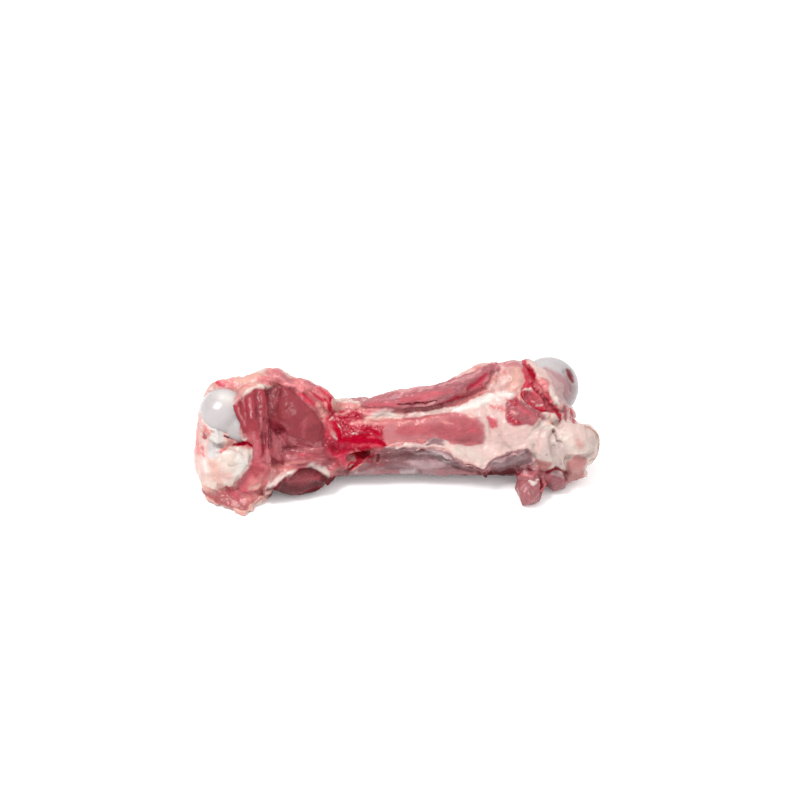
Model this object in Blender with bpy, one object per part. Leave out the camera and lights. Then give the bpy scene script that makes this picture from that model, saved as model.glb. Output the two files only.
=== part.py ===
"""Pork leg bone with the meat, fat and gristle left on it, lying on a flat surface.

Metres, +Z up. X runs along the bone, from the knuckle end at -X to the hip end at +X. -Y is the side
that shows the two muscle lobes, and +Z is the upper side as it lies. The origin is at the middle of
the part's footprint, on the surface that it rests on.

Two solids: the femur, whose knuckle and round head are bare, and the flesh, which is a jacket round it.
Forms are given in millimetres as lumps (ellipsoids) and strands (tapering rows of beads along a curve).
They are fused by a voxel remesh, smoothed, and given an uneven surface by seeded noise.
"""

import math

import bmesh
import bpy
from mathutils import Euler, Matrix, Vector, noise
from mathutils.bvhtree import BVHTree
from mathutils.kdtree import KDTree

MM = 0.001

# Driving sizes of the femur, in millimetres.
HEAD_CENTRE = (82.2, 26.7, 34.0)
HEAD_RADIUS = 16.5
KNUCKLE_CENTRE = (-91.0, -6.0, 39.0)
KNUCKLE_RADII = (13.5, 14.5, 14.0)
SHAFT_RADIUS = 9.5

# Flesh left round the neck, which covers the head up to a slanting line.
COLLAR_CENTRE = (73.2, 20.0, 30.8)
COLLAR_RADIUS = 17.8

# Beads of fat along the neck and on the knob, each as its centre and radius.
HIP_BEADS = [
    ((76.9, 11.6, 46.1), 4.1),
    ((79.5, 8.6, 44.6), 3.5),
    ((81, 7.1, 42.6), 3.4),
    ((83.2, 5.3, 39.8), 3.4),
    ((85.4, 4.7, 36.4), 3.4),
    ((77.3, -5.2, 38.2), 3.6),
    ((81.1, -5, 35.4), 3.8),
    ((85.6, -2.7, 32.6), 3.6),
    ((79.4, -8.9, 34.4), 3.6),
    ((89.9, 6.1, 32.6), 3.4),
    ((93.6, 8.6, 27.8), 3.6),
    ((90.1, 0.3, 31.8), 3.4),
]

# How the two solids are meshed, in millimetres.
BONE_GAP = 0.35
BONE_VOXEL = 1.2
FLESH_VOXEL = 1.2
BONE_TRIANGLES = 2400
FLESH_TRIANGLES = 9300

# Torn sheets of fat and membrane: their thickness, and how far their free edges stray.
SHEET_THICKNESS = 2.3
SHEET_TEAR = 0.16

# Unevenness of the flesh: a slow sway of the whole form, and fine crags along the normal.
SWAY_SIZE = 1.6
SWAY_LENGTH = 26.0
CRAG_SIZE = 0.8
CRAG_LENGTH = 7.0
NOISE_SEED = 8

# Channels sunk in the flesh, each as its path, half width and depth. A negative depth is a ridge.
CHANNELS = [
    ([(-64, 4, 50), (-67, -4, 46), (-67, -13, 39), (-64, -19, 29), (-63, -23, 22)], 4.5, 3.0),
    ([(-63, -24, 20), (-50, -27, 20), (-39, -24, 18), (-33, -18, 17)], 4.0, 2.5),
    ([(-47, 3, 47), (-39, -2, 39), (-33, -8, 31), (-32, -15, 22)], 4.0, 2.0),
    ([(-92, -21, 29), (-80, -25, 29)], 3.0, 1.6),
    ([(-24, -17, 18), (-14, -16, 21)], 3.5, 3.0),
    ([(-30, 8, 36), (-27, -7, 33), (-25, -13, 24)], 8.0, 2.0),
    ([(-80, -8, 52), (-78, -18, 45), (-75, -23, 33)], 2.8, 1.3),
    ([(-73, -2, 54), (-72, -13, 47), (-69, -21, 34)], 2.8, 1.3),
    (
        [(-11, -18, 18), (7, -17, 19), (26, -17, 19), (35, -21, 13), (46, -22, 9), (56, -20, 14)]
        + [(70, -21, 22)],
        3.2,
        1.8,
    ),
    ([(-17, -3, 34), (9, -4, 37), (27, 0, 38), (39, 6, 41), (48, 13, 42), (55, 18, 47)], 3.0, 1.6),
    ([(69, 24, 50), (76, 11, 46), (81, 2, 38), (87, -3, 34)], 2.6, 2.0),
    ([(71, -24, 17), (72, -21, 27), (75, -14, 36), (87, -2, 32), (94, -8, 35)], 3.0, 1.4),
    ([(49, -3, 40), (54, -14, 28), (62, -19, 18)], 5.0, 1.4),
    ([(89, -24, 24), (93, -24, 22.5), (98, -21, 22), (103, -17, 23)], 2.6, 1.4),
    ([(89, -24, 23), (88.5, -23, 16), (90, -22, 9)], 2.8, 1.8),
    ([(83, -15, 35), (81, -21, 32), (82.5, -24, 26), (85.5, -23, 17)], 2.6, 1.4),
    ([(-40, 27, 26), (-10, 28, 22), (25, 29, 19), (55, 32, 17)], 3.0, 1.4),
    ([(-72, 30, 34), (-73, 30, 22), (-70, 29, 10)], 4.0, 2.2),
    ([(64, 36, 24), (70, 34, 12), (76, 28, 5)], 3.5, 1.6),
]

# The pit in the head where its ligament was.
PIT_PATH = [(90.8, 21.9, 47.5), (93.0, 18.5, 42.0), (94.0, 17.2, 39.5)]
PIT_HALF_WIDTH = 2.8
PIT_DEPTH = 2.0

# Height of the table that the forms are given above, which the undersides are flattened on.
TABLE_LEVEL = 0.4

# Distance between the beads of a strand, in radii.
BEAD_SPACING = 0.4

# Rows of points across and along a sheet.
SHEET_ROWS = 6
SHEET_COLUMNS = 40


def clear_scene():
    for obj in list(bpy.data.objects):
        bpy.data.objects.remove(obj, do_unlink=True)


def make_material(name, colour, roughness):
    material = bpy.data.materials.new(name)
    material.use_nodes = True
    shader = material.node_tree.nodes["Principled BSDF"]
    shader.inputs["Base Color"].default_value = (*colour, 1.0)
    shader.inputs["Roughness"].default_value = roughness
    shader.inputs["Metallic"].default_value = 0.0
    return material


def lump(bm, centre, radii, turn=(0, 0, 0), rounds=3):
    """Adds an ellipsoid. Turn is about X, Y and Z, in degrees."""
    angles = Euler([math.radians(a) for a in turn])
    place = Matrix.LocRotScale(Vector(centre), angles, Vector(radii))
    bmesh.ops.create_icosphere(bm, subdivisions=rounds, radius=1.0, matrix=place)


def smooth_path(stops, steps):
    """Points on a Catmull-Rom curve through the stops, which are (x, y, z, radius)."""
    rows = [Vector(stop) for stop in stops]
    rows = [2 * rows[0] - rows[1], *rows, 2 * rows[-1] - rows[-2]]
    points = []
    for before, start, end, after in zip(rows, rows[1:], rows[2:], rows[3:]):
        for step in range(steps):
            t = step / steps
            points.append(
                0.5
                * (
                    2 * start
                    + (end - before) * t
                    + (2 * before - 5 * start + 4 * end - after) * t**2
                    + (3 * start - before - 3 * end + after) * t**3
                )
            )
    points.append(rows[-2])
    return points


def strand(bm, stops, flat=1.0, normal=(0, 0, 1)):
    """Adds a tapering row of beads through the stops, thinned by flat along the normal."""
    points = smooth_path(stops, 12)
    last = None
    for index, point in enumerate(points):
        place, radius = point.to_3d(), point[3]
        is_end = index == len(points) - 1
        if last is not None and not is_end and (place - last).length < BEAD_SPACING * radius:
            continue
        along = points[min(index + 1, len(points) - 1)].to_3d() - points[max(index - 1, 0)].to_3d()
        up = Vector(normal)
        up = (up - up.project(along)).normalized()
        along.normalize()
        axes = Matrix((along, up.cross(along), up)).transposed()
        size = Matrix.Diagonal((radius, radius, radius * flat))
        frame = Matrix.Translation(place) @ (axes @ size).to_4x4()
        bmesh.ops.create_icosphere(bm, subdivisions=2, radius=1.0, matrix=frame)
        last = place


def block(bm, centre, size, turn=(0, 0, 0)):
    """Adds a box. Turn is about X, Y and Z, in degrees."""
    angles = Euler([math.radians(a) for a in turn])
    place = Matrix.LocRotScale(Vector(centre), angles, Vector(size))
    bmesh.ops.create_cube(bm, size=1.0, matrix=place)


def place_along(points, share):
    """The place that is a given share of the way along a row of points."""
    step = share * (len(points) - 1)
    low = min(int(step), len(points) - 2)
    return points[low].lerp(points[low + 1], step - low).to_3d()


def sheet(bm, root, edge):
    """Adds a thin sheet that hangs from its root line and ends in a torn edge."""
    roots = smooth_path([(*stop, 0.0) for stop in root], 12)
    edges = smooth_path([(*stop, 0.0) for stop in edge], 12)
    grid = []
    for column in range(SHEET_COLUMNS):
        share = column / (SHEET_COLUMNS - 1)
        start, end = place_along(roots, share), place_along(edges, share)
        tear = 1.0 + SHEET_TEAR * noise.noise(end / 2.5)
        grid.append([start.lerp(end, tear * row / (SHEET_ROWS - 1)) for row in range(SHEET_ROWS)])
    outer, inner = [], []
    for column, line in enumerate(grid):
        before, after = grid[max(column - 1, 0)], grid[min(column + 1, SHEET_COLUMNS - 1)]
        for row, place in enumerate(line):
            down = line[min(row + 1, SHEET_ROWS - 1)] - line[max(row - 1, 0)]
            normal = (after[row] - before[row]).cross(down).normalized() * SHEET_THICKNESS / 2
            outer.append(bm.verts.new(place - normal))
            inner.append(bm.verts.new(place + normal))
    rim = [(column, 0) for column in range(SHEET_COLUMNS)]
    rim += [(SHEET_COLUMNS - 1, row) for row in range(1, SHEET_ROWS)]
    rim += [(column, SHEET_ROWS - 1) for column in reversed(range(SHEET_COLUMNS - 1))]
    rim += [(0, row) for row in reversed(range(1, SHEET_ROWS - 1))]
    faces = []
    for column in range(SHEET_COLUMNS - 1):
        for row in range(SHEET_ROWS - 1):
            corner = column * SHEET_ROWS + row
            corners = (corner, corner + 1, corner + SHEET_ROWS + 1, corner + SHEET_ROWS)
            faces.append(bm.faces.new([outer[c] for c in corners]))
            faces.append(bm.faces.new([inner[c] for c in reversed(corners)]))
    for (column, row), (next_column, next_row) in zip(rim, rim[1:] + rim[:1]):
        here, there = column * SHEET_ROWS + row, next_column * SHEET_ROWS + next_row
        faces.append(bm.faces.new((outer[here], outer[there], inner[there], inner[here])))
    bmesh.ops.recalc_face_normals(bm, faces=faces)


def femur_forms(bm):
    """The bone: knuckle, shaft, neck, round head and the big knob beside it."""
    lump(bm, KNUCKLE_CENTRE, KNUCKLE_RADII)
    lump(bm, (-84, -12, 35.5), (9.5, 9.5, 9))
    lump(bm, (-86, -15, 22), (8, 8, 10))
    lump(bm, (-77, -2, 27), (12, 11, 13))
    strand(
        bm,
        [
            (-78, -3, 29, 12),
            (-55, 2, 25, SHAFT_RADIUS + 1),
            (-25, 5, 21, SHAFT_RADIUS),
            (20, 4, 23, SHAFT_RADIUS),
            (50, 8, 26, SHAFT_RADIUS + 1.5),
            (66, 12, 29, 14),
        ],
    )
    strand(bm, [(62, 14, 31, 11), (74, 22, 33, 10.5), (*HEAD_CENTRE, 11)])
    strand(bm, [(66, 8, 26, 12), (80, -3, 22, 10), (88, -9, 20, 9)])
    lump(bm, HEAD_CENTRE, (HEAD_RADIUS,) * 3, rounds=4)


def knuckle_flesh(bm):
    """Muscle, fat and gristle round the knuckle end."""
    lump(bm, (-72, 3, 25), (19, 17, 20))
    strand(bm, [(-59, 6, 41, 9.5), (-52, -1, 31.5, 15), (-45, -8, 21, 11.5), (-42, -12, 15, 7)])
    strand(
        bm,
        [
            (-76, -2, 45, 9),
            (-75, -10, 38, 11.5),
            (-71, -16, 29, 9.5),
            (-70, -21, 20, 8),
            (-75, -26, 12, 7),
            (-81, -30, 6, 5),
        ],
    )
    strand(bm, [(-80, -4, 48, 4.5), (-82, -9.5, 47, 4.5), (-81, -13, 42, 4.5), (-78, -17, 36, 5)])
    lump(bm, (-52.5, -20, 11), (17.5, 12, 12.5), turn=(0, 0, 8))
    lump(bm, (-87, -22, 18), (13.5, 11, 14))
    lump(bm, (-93, -15, 24), (10, 9, 11))
    strand(bm, [(-101.3, -11, 41.5, 2.6), (-98, -16.5, 37.5, 3.6), (-93, -19, 35, 4), (-87, -19, 31, 4)])
    strand(bm, [(-97, -25, 4, 5), (-88, -28.5, 3, 6), (-78, -30, 3, 7), (-70, -26, 3, 5)], flat=0.6)
    sheet(
        bm,
        [
            (-100.5, -26, 11),
            (-96, -28, 9.5),
            (-90, -28.5, 8.5),
            (-84, -29.5, 9),
            (-77.4, -29.5, 12),
            (-71, -27.5, 12),
        ],
        [
            (-102.5, -26.5, 4.5),
            (-99.3, -30.5, 2.4),
            (-94.1, -34.2, 1.8),
            (-89.1, -37.6, 1.6),
            (-83.7, -40, 1.6),
            (-78.4, -41.8, 1.5),
            (-74.5, -37, 1.6),
            (-70.5, -27.5, 4),
        ],
    )
    sheet(
        bm,
        [(-71, -27, 17), (-66, -25.5, 20), (-59.5, -20.5, 21), (-52.5, -20, 22.5), (-44, -18, 21)],
        [(-70, -33, 5), (-65, -34, 8.5), (-59, -34.5, 13.5), (-53, -34, 17), (-48, -28.5, 16.5)],
    )
    sheet(
        bm,
        [(-50.5, -21, 23), (-43, -17, 22), (-36, -15, 19), (-31, -15, 17)],
        [(-48, -28.5, 17), (-44, -29.5, 15), (-39, -29.5, 11.5), (-35.5, -26, 9.5), (-30, -20, 9)],
    )
    strand(
        bm,
        [
            (-100.5, -2, 40, 2.5),
            (-100.8, -7, 34, 4.2),
            (-100, -11, 27, 6),
            (-98.5, -19, 18, 7.2),
            (-95.5, -25, 9, 7),
        ],
    )
    strand(
        bm,
        [
            (-99, 0, 43, 3.2),
            (-95, 3.5, 47.5, 4),
            (-88, 4, 48.5, 5),
            (-78, 6, 46, 7),
            (-67, 12.5, 48, 6.8),
            (-58, 8, 47, 6.5),
            (-50, 8, 45, 6.2),
            (-41, 7, 41.5, 6),
            (-34, 3, 37.5, 5.5),
        ],
    )
    lump(bm, (-63, -13, 22), (7, 7, 8))
    lump(bm, (-66, 1, 14), (14, 15, 12))
    lump(bm, (-85, -10, 15), (13, 13, 13))
    lump(bm, (-62, 17, 24), (17, 14, 23), turn=(0, 10, 0))
    lump(bm, (-82, 16, 22), (14, 15, 24), turn=(0, -12, 0))
    lump(bm, (-87, 8, 18), (14, 17, 17))
    strand(bm, [(-92, 22, 14, 6), (-80, 27, 20, 5), (-66, 27, 27, 5), (-50, 24, 31, 4)])


def shaft_flesh(bm):
    """The flesh along the shaft: muscles above, in front, below and behind it."""
    strand(
        bm,
        [
            (-42, 1, 23.5, 14),
            (-23, 0, 22.5, 14.3),
            (0, 1, 22.5, 14.3),
            (20, 2, 24, 14.8),
            (45, 5, 26, 16.5),
            (62, 8, 28, 18),
        ],
    )
    lump(bm, (20.6, -2.8, 26.5), (29, 11.5, 12))
    strand(
        bm,
        [
            (-22, 4.5, 34.5, 3.5),
            (-9, 3, 38.2, 5.2),
            (5, 4, 41.8, 6.2),
            (18, 6, 42.6, 6.4),
            (31, 10.5, 44, 6.2),
            (42, 18, 46, 5.8),
            (52, 25, 46, 4.5),
        ],
    )
    strand(bm, [(28, 8.5, 38.5, 5), (40, 13, 40, 6), (50, 17, 41, 7)])
    strand(bm, [(-36, 5.5, 36.5, 6), (-26, 6, 34.2, 5.2), (-16, 5.5, 33.7, 5.2), (-6, 4.5, 34.8, 5)])
    strand(bm, [(-34, -9, 14, 11), (0, -7.8, 14.3, 11.4), (40, -7.2, 14, 11.4), (68, -8, 14, 11.5)])
    strand(bm, [(-50, 17, 18, 14), (-15, 17, 16, 12.5), (20, 17, 16, 12.5), (52, 20, 18, 13.5)])
    strand(bm, [(-44, 14, 27, 7), (-20, 17, 24, 8), (12, 19, 23.5, 8), (40, 23, 23, 8), (60, 26, 19, 7)])
    strand(bm, [(-30, 27, 15, 4), (0, 29, 12, 5.5), (30, 30, 11, 5.5), (58, 29, 13, 5)])
    sheet(
        bm,
        [
            (-10, -10, 25),
            (5, -10, 27),
            (18, -11.5, 28),
            (31, -11.5, 27),
            (42, -10, 25),
            (55, -11, 26),
            (69, -16, 29),
        ],
        [
            (-8, -15.5, 21),
            (0.4, -16.5, 21.8),
            (9, -17.5, 23.5),
            (16, -17.5, 23.5),
            (23, -19.5, 22.5),
            (31, -21, 18.5),
            (39, -22.5, 15),
            (46.5, -23.5, 12),
            (51, -21.5, 17),
            (58.5, -19, 19),
            (67, -21.5, 24.5),
        ],
    )


def hip_flesh(bm):
    """Fat, gristle and trimmings round the hip end."""
    lump(bm, (62.5, 19, 34), (15, 18.5, 20))
    lump(bm, (65.7, -1, 26), (19, 16.5, 17.5))
    lump(bm, COLLAR_CENTRE, (COLLAR_RADIUS,) * 3)
    lump(bm, (79, -13, 22), (12.5, 12, 14.5))
    lump(bm, (90.5, -11, 20), (14, 13.5, 16))
    lump(bm, (99, -9, 20.5), (8.5, 10, 12))
    block(bm, (93, -13.5, 13.5), (12.5, 13, 17), turn=(8, -8, 20))
    lump(bm, (89, -6, 9), (12, 11, 11))
    lump(bm, (61, 22, 13), (15, 13, 15))
    lump(bm, (85, -2, 27), (8, 8, 9))
    lump(bm, (83, 6, 18), (13, 13, 12))
    strand(bm, [(70, 29, 47, 4.2), (76.5, 16.5, 43.5, 5.2), (82.5, 9.5, 36, 5.8), (90.5, 12.5, 26, 5.8)])
    strand(bm, [(67, 22, 47, 3.5), (73, 9, 42, 4), (79, 1, 35, 4), (86, -4, 31, 4)])
    strand(bm, [(84, 5, 30, 4), (92, 2, 27, 4), (97, -1, 23, 4)])
    strand(bm, [(69, -17, 14, 6.5), (69, -27, 8, 6.5), (70, -31, 6, 6)])
    lump(bm, (70, -27, 8), (9, 13.5, 8.5), turn=(14, 8, -5), rounds=1)
    strand(bm, [(79, -18, 12, 6), (84, -20, 7, 5)])
    lump(bm, (84.5, -19.5, 6.8), (8, 7.5, 7.8), turn=(20, 10, 15), rounds=1)
    strand(
        bm,
        [
            (66.4, 6.6, 47, 1.4),
            (67, 4, 45, 1.5),
            (69, -0.4, 44, 1.6),
            (72, -3, 42.5, 1.6),
            (76.3, -2.4, 39.8, 1.6),
            (81.5, 1.2, 35.2, 1.6),
            (86, -4.5, 34.3, 1.5),
        ],
    )
    for centre, radius in HIP_BEADS:
        lump(bm, centre, (radius,) * 3, rounds=2)


def new_object(name, bm, material):
    mesh = bpy.data.meshes.new(name)
    bm.to_mesh(mesh)
    bm.free()
    mesh.transform(Matrix.Diagonal((MM, MM, MM, 1.0)))
    obj = bpy.data.objects.new(name, mesh)
    bpy.context.scene.collection.objects.link(obj)
    mesh.materials.append(material)
    return obj


def settle(obj):
    """Applies the object's modifiers and drops all loose scraps but its largest body."""
    graph = bpy.context.evaluated_depsgraph_get()
    mesh = bpy.data.meshes.new_from_object(obj.evaluated_get(graph))
    obj.modifiers.clear()
    old = obj.data
    obj.data = mesh
    bpy.data.meshes.remove(old)
    keep_largest_body(mesh)


def keep_largest_body(mesh):
    bm = bmesh.new()
    bm.from_mesh(mesh)
    waiting = set(bm.faces)
    bodies = []
    while waiting:
        body = {waiting.pop()}
        edge_of_search = list(body)
        while edge_of_search:
            face = edge_of_search.pop()
            for edge in face.edges:
                for neighbour in edge.link_faces:
                    if neighbour not in body:
                        body.add(neighbour)
                        waiting.discard(neighbour)
                        edge_of_search.append(neighbour)
        bodies.append(body)
    largest = max(bodies, key=len)
    scraps = [face for body in bodies if body is not largest for face in body]
    bmesh.ops.delete(bm, geom=scraps, context="FACES")
    bm.to_mesh(mesh)
    bm.free()


def fuse(obj, voxel, rounds):
    """Makes one skin of the overlapping forms, and rounds off the creases between them."""
    remesh = obj.modifiers.new("one skin", "REMESH")
    remesh.mode = "VOXEL"
    remesh.voxel_size = voxel * MM
    remesh.adaptivity = 0.0
    smooth = obj.modifiers.new("soft creases", "SMOOTH")
    smooth.factor = 0.5
    smooth.iterations = rounds
    settle(obj)


def thin_out(obj, triangles):
    """Fewer triangles, most of them where the surface bends."""
    mesh = obj.data
    mesh.calc_loop_triangles()
    reduce = obj.modifiers.new("fewer triangles", "DECIMATE")
    reduce.ratio = triangles / len(mesh.loop_triangles)
    reduce.use_collapse_triangulate = True
    settle(obj)


def roughen(mesh):
    """Sways the whole form a little, then raises small crags along the normals."""
    noise.seed_set(NOISE_SEED)
    offset = Vector((NOISE_SEED, 0, 0))
    for vertex in mesh.vertices:
        place = vertex.co / (SWAY_LENGTH * MM) + offset
        vertex.co += noise.noise_vector(place) * SWAY_SIZE * MM
    mesh.update()
    normals = [vertex.normal.copy() for vertex in mesh.vertices]
    for vertex, normal in zip(mesh.vertices, normals):
        place = vertex.co / (CRAG_LENGTH * MM) + offset
        vertex.co += normal * noise.fractal(place, 1.0, 2.0, 3) * CRAG_SIZE * MM
    mesh.update()


def carve(mesh, channels):
    """Sinks soft channels along paths that are first laid on the skin."""
    triangles = [tuple(polygon.vertices) for polygon in mesh.polygons]
    skin = BVHTree.FromPolygons([vertex.co for vertex in mesh.vertices], triangles)
    normals = [vertex.normal.copy() for vertex in mesh.vertices]
    sunk = [0.0] * len(normals)
    for path, half_width, depth in channels:
        stops = [(*(Vector(stop) * MM), 0.0) for stop in path]
        points = smooth_path(stops, 12)
        tree = KDTree(len(points))
        for index, point in enumerate(points):
            tree.insert(skin.find_nearest(point.to_3d())[0], index)
        tree.balance()
        for index, vertex in enumerate(mesh.vertices):
            reach = tree.find(vertex.co)[2] / (half_width * MM)
            if reach < 1.0:
                sunk[index] += depth * MM * (1.0 - reach**2) ** 2
    for vertex, normal, depth in zip(mesh.vertices, normals, sunk):
        vertex.co -= normal * depth
    mesh.update()


def rest_on_table(mesh, level):
    """Flattens what would sink into a table of this height."""
    for vertex in mesh.vertices:
        vertex.co.z = max(vertex.co.z, level * MM)
    mesh.update()


def build_femur(material):
    bm = bmesh.new()
    femur_forms(bm)
    femur = new_object("femur", bm, material)
    fuse(femur, BONE_VOXEL, 6)
    carve(femur.data, [(PIT_PATH, PIT_HALF_WIDTH, PIT_DEPTH)])
    thin_out(femur, BONE_TRIANGLES)
    femur.data.shade_smooth()
    return femur


def bone_cutter(femur):
    """A copy of the femur, thicker by the gap, that hollows out the flesh."""
    cutter = bpy.data.objects.new("bone_room", femur.data.copy())
    bpy.context.scene.collection.objects.link(cutter)
    swell = cutter.modifiers.new("gap", "DISPLACE")
    swell.mid_level = 0.0
    swell.strength = BONE_GAP * MM
    return cutter


def build_flesh(material, femur):
    bm = bmesh.new()
    knuckle_flesh(bm)
    shaft_flesh(bm)
    hip_flesh(bm)
    flesh = new_object("flesh", bm, material)
    fuse(flesh, FLESH_VOXEL, 4)
    carve(flesh.data, CHANNELS)
    roughen(flesh.data)
    rest_on_table(flesh.data, 0.0)
    thin_out(flesh, FLESH_TRIANGLES)
    rest_on_table(flesh.data, TABLE_LEVEL)
    hollow = flesh.modifiers.new("room for the bone", "BOOLEAN")
    hollow.operation = "DIFFERENCE"
    hollow.solver = "EXACT"
    cutter = bone_cutter(femur)
    hollow.object = cutter
    settle(flesh)
    bpy.data.objects.remove(cutter, do_unlink=True)
    flesh.data.shade_smooth()
    return flesh


def stand_on_origin(objects):
    """Moves the whole so that the middle of its footprint is at the origin."""
    corners = [vertex.co for obj in objects for vertex in obj.data.vertices]
    low = [min(corner[axis] for corner in corners) for axis in range(3)]
    high = [max(corner[axis] for corner in corners) for axis in range(3)]
    shift = Vector((-(low[0] + high[0]) / 2, -(low[1] + high[1]) / 2, -low[2]))
    for obj in objects:
        obj.data.transform(Matrix.Translation(shift))


def main():
    clear_scene()
    gristle = make_material("gristle", (0.72, 0.73, 0.76), 0.25)
    raw_meat = make_material("raw_meat", (0.62, 0.22, 0.23), 0.35)
    femur = build_femur(gristle)
    flesh = build_flesh(raw_meat, femur)
    stand_on_origin([femur, flesh])


main()
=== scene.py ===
"""Pork leg bone with torn muscle, fat and gristle on it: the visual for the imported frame."""
import math

import bmesh
import bpy
import numpy as np
from mathutils import Euler, Matrix, Vector, noise
from mathutils.bvhtree import BVHTree


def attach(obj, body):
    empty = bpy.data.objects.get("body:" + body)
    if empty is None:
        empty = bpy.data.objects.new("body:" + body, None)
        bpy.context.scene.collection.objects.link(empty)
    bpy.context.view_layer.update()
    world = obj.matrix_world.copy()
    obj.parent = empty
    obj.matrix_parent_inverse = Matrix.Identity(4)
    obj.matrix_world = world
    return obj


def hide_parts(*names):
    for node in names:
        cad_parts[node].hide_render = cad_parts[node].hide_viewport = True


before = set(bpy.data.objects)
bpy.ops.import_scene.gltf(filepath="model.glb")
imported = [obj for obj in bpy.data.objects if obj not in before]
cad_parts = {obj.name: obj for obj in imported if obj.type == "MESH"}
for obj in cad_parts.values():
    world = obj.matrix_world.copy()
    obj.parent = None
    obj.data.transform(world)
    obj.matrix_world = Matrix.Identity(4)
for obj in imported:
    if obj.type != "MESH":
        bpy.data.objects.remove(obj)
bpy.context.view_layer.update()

MM = 0.001

# The forms are given in millimetres, in a frame that this moves to the row frame.
SHIFT = Vector((-0.836, 0.073, -0.4))

# The camera, in the forms' frame, and the picture that it takes.
CAMERA_RISE = math.radians(35.0)
CAMERA_DISTANCE = 1130.0
CAMERA_TARGET = Vector((2.0, 63.0, 0.0))
LENS, SENSOR = 90.0, 36.0
PICTURE = 800
VIEW_RIGHT = Vector((1, 0, 0))
VIEW_UP = Vector((0, math.sin(CAMERA_RISE), math.cos(CAMERA_RISE)))
VIEW_BACK = Vector((0, -math.cos(CAMERA_RISE), math.sin(CAMERA_RISE)))
CAMERA_PLACE = CAMERA_TARGET + VIEW_BACK * CAMERA_DISTANCE
DOT = CAMERA_DISTANCE * SENSOR / LENS / PICTURE

# Light: places in metres, disk sizes in metres, powers in watts.
KEY_PLACE, KEY_SIZE, KEY_POWER = (-0.4, -0.15, 0.9), 0.5, 8.5
FILL_PLACE, FILL_SIZE, FILL_POWER = (0.45, -0.4, 0.8), 1.0, 2.5
LIT_PLACE = (0, 0, 0.02)
WORLD_STRENGTH = 0.98
FLOOR_HALF = 3.0
FLOOR_GLOW = 0.1

# Driving sizes of the bone and of the flesh round its neck.
HEAD_CENTRE = (82.2, 26.7, 34.0)
HEAD_RADIUS = 16.5
KNUCKLE_CENTRE = (-91.0, -6.0, 39.0)
KNUCKLE_RADII = (13.5, 14.5, 14.0)
SHAFT_RADIUS = 9.5
COLLAR_CENTRE = (76.9, 22.6, 31.9)
COLLAR_RADIUS = 17.8

# How finely the skins are meshed, and how uneven they are.
FLESH_VOXEL = 0.55
BONE_VOXEL = 0.8
FLESH_ROUNDS = 6
BONE_ROUNDS = 8
SHEET_THICKNESS = 1.5
SHEET_TEAR = 0.2
SHEET_TEAR_LENGTH = 2.5
SHEET_ROWS = 10
SHEET_COLUMNS = 80
STRAND_STEPS = 16
SHEET_STEPS = 12
CHANNEL_STEPS = 12
LINE_STEPS = 6
OUTLINE_STEPS = 3
BEAD_SPACING = 0.3
SWAY_SIZE = 1.6
SWAY_LENGTH = 26.0
CRAG_SIZE = 0.64
CRAG_LENGTH = 7.0
NOISE_SEED = 8
NOISE_GAIN = 1.6
TABLE_LEVEL = 0.4

# What shows in the picture: the rays that tell it, and how far it spreads and fades past its edge.
RAY_LIFT = 0.4
RAY_REACH = 150.0
SHOW_WRAP = 1
SHOW_FADE = 5
SHOW_LEAST = 0.01
SHOW_FULL = 0.99

# How the edges of the finishes stray: sizes of the bumps in mm, and how far they go, in mm in space
# and in dots in the picture.
WARP_SLOW, WARP_FAST, WARP_SLOW_SHARE = 7.0, 2.4, 1.6
ZONE_STRAY_SIZE, ZONE_STRAY = 8.0, 1.6
RAGGED_SLOW, RAGGED_SLOW_SHARE = 7.0, 0.22
RAGGED_FAST, RAGGED_FAST_SHARE = 2.5, 0.1
CREASE_STRAY_SIZE = 3.0
FLESH_STRAY = 1.0
BONE_STRAY = 0.3
ZONE_MARGIN = 5.0
PATCH_MARGIN = 6.0
CREASE_MARGIN = 1.0
FAR = 1e9
TINY = 1e-9

# The relief that the finishes raise, in mm: two sizes of fibre and two of lumps.
FIBRE_COARSE, FIBRE_COARSE_HEIGHT = (0.08, 0.55, 0.55), 0.34
FIBRE_FINE, FIBRE_FINE_HEIGHT = (0.14, 1.0, 1.0), 0.16
LUMP_COARSE, LUMP_FINE, LUMP_FINE_SHARE = 4.4, 2.0, 0.45
LUMP_FOLD, LUMP_LEVEL, LUMP_HEIGHT = 1.6, 0.9, 0.62

# Finishes more fibrous than this turn the fibres along their line. Elsewhere they run along the bone.
FIBROUS = 0.4
BASE_GRAIN = (0.35, 1, 1)

# The share of a finish's colour that the paint takes, as the studio light is brighter than full.
PAINT_SHARE = 0.62

# Strokes with a smaller radius than this are laid on the skin.
THIN = 5.5

# The kinds of fat that drift over the base: finish, size in mm, offset in the noise, where it starts.
MARBLING = [("cream", 16.0, 2.0, 0.1), ("salmon", 11.0, 7.0, 0.25), ("rim_pink", 6.0, 12.0, 0.42)]
MARBLE_SOFT = 0.35
MARBLE_SHARE = 0.8


# Tables: words of numbers for the stops of a line, and rows of values, a colon and stops


def stops_of(text):
    """Stops written as words such as 268,496,1.6."""
    return [tuple(float(number) for number in word.split(",")) for word in text.split()]


def value_of(word):
    return float(word) if word[-1].isdigit() else word


def rows_of(text):
    """Rows as (values, ..., stops). A line that starts with a blank belongs to the row before it."""
    lines = text.strip().replace("\n ", " ").splitlines()
    rows = [line.split(":") for line in lines if not line.startswith("#")]
    return [(*map(value_of, values.split()), stops_of(stops)) for values, stops in rows]


# Forms: closed shapes that overlap, gathered as plain arrays


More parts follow.
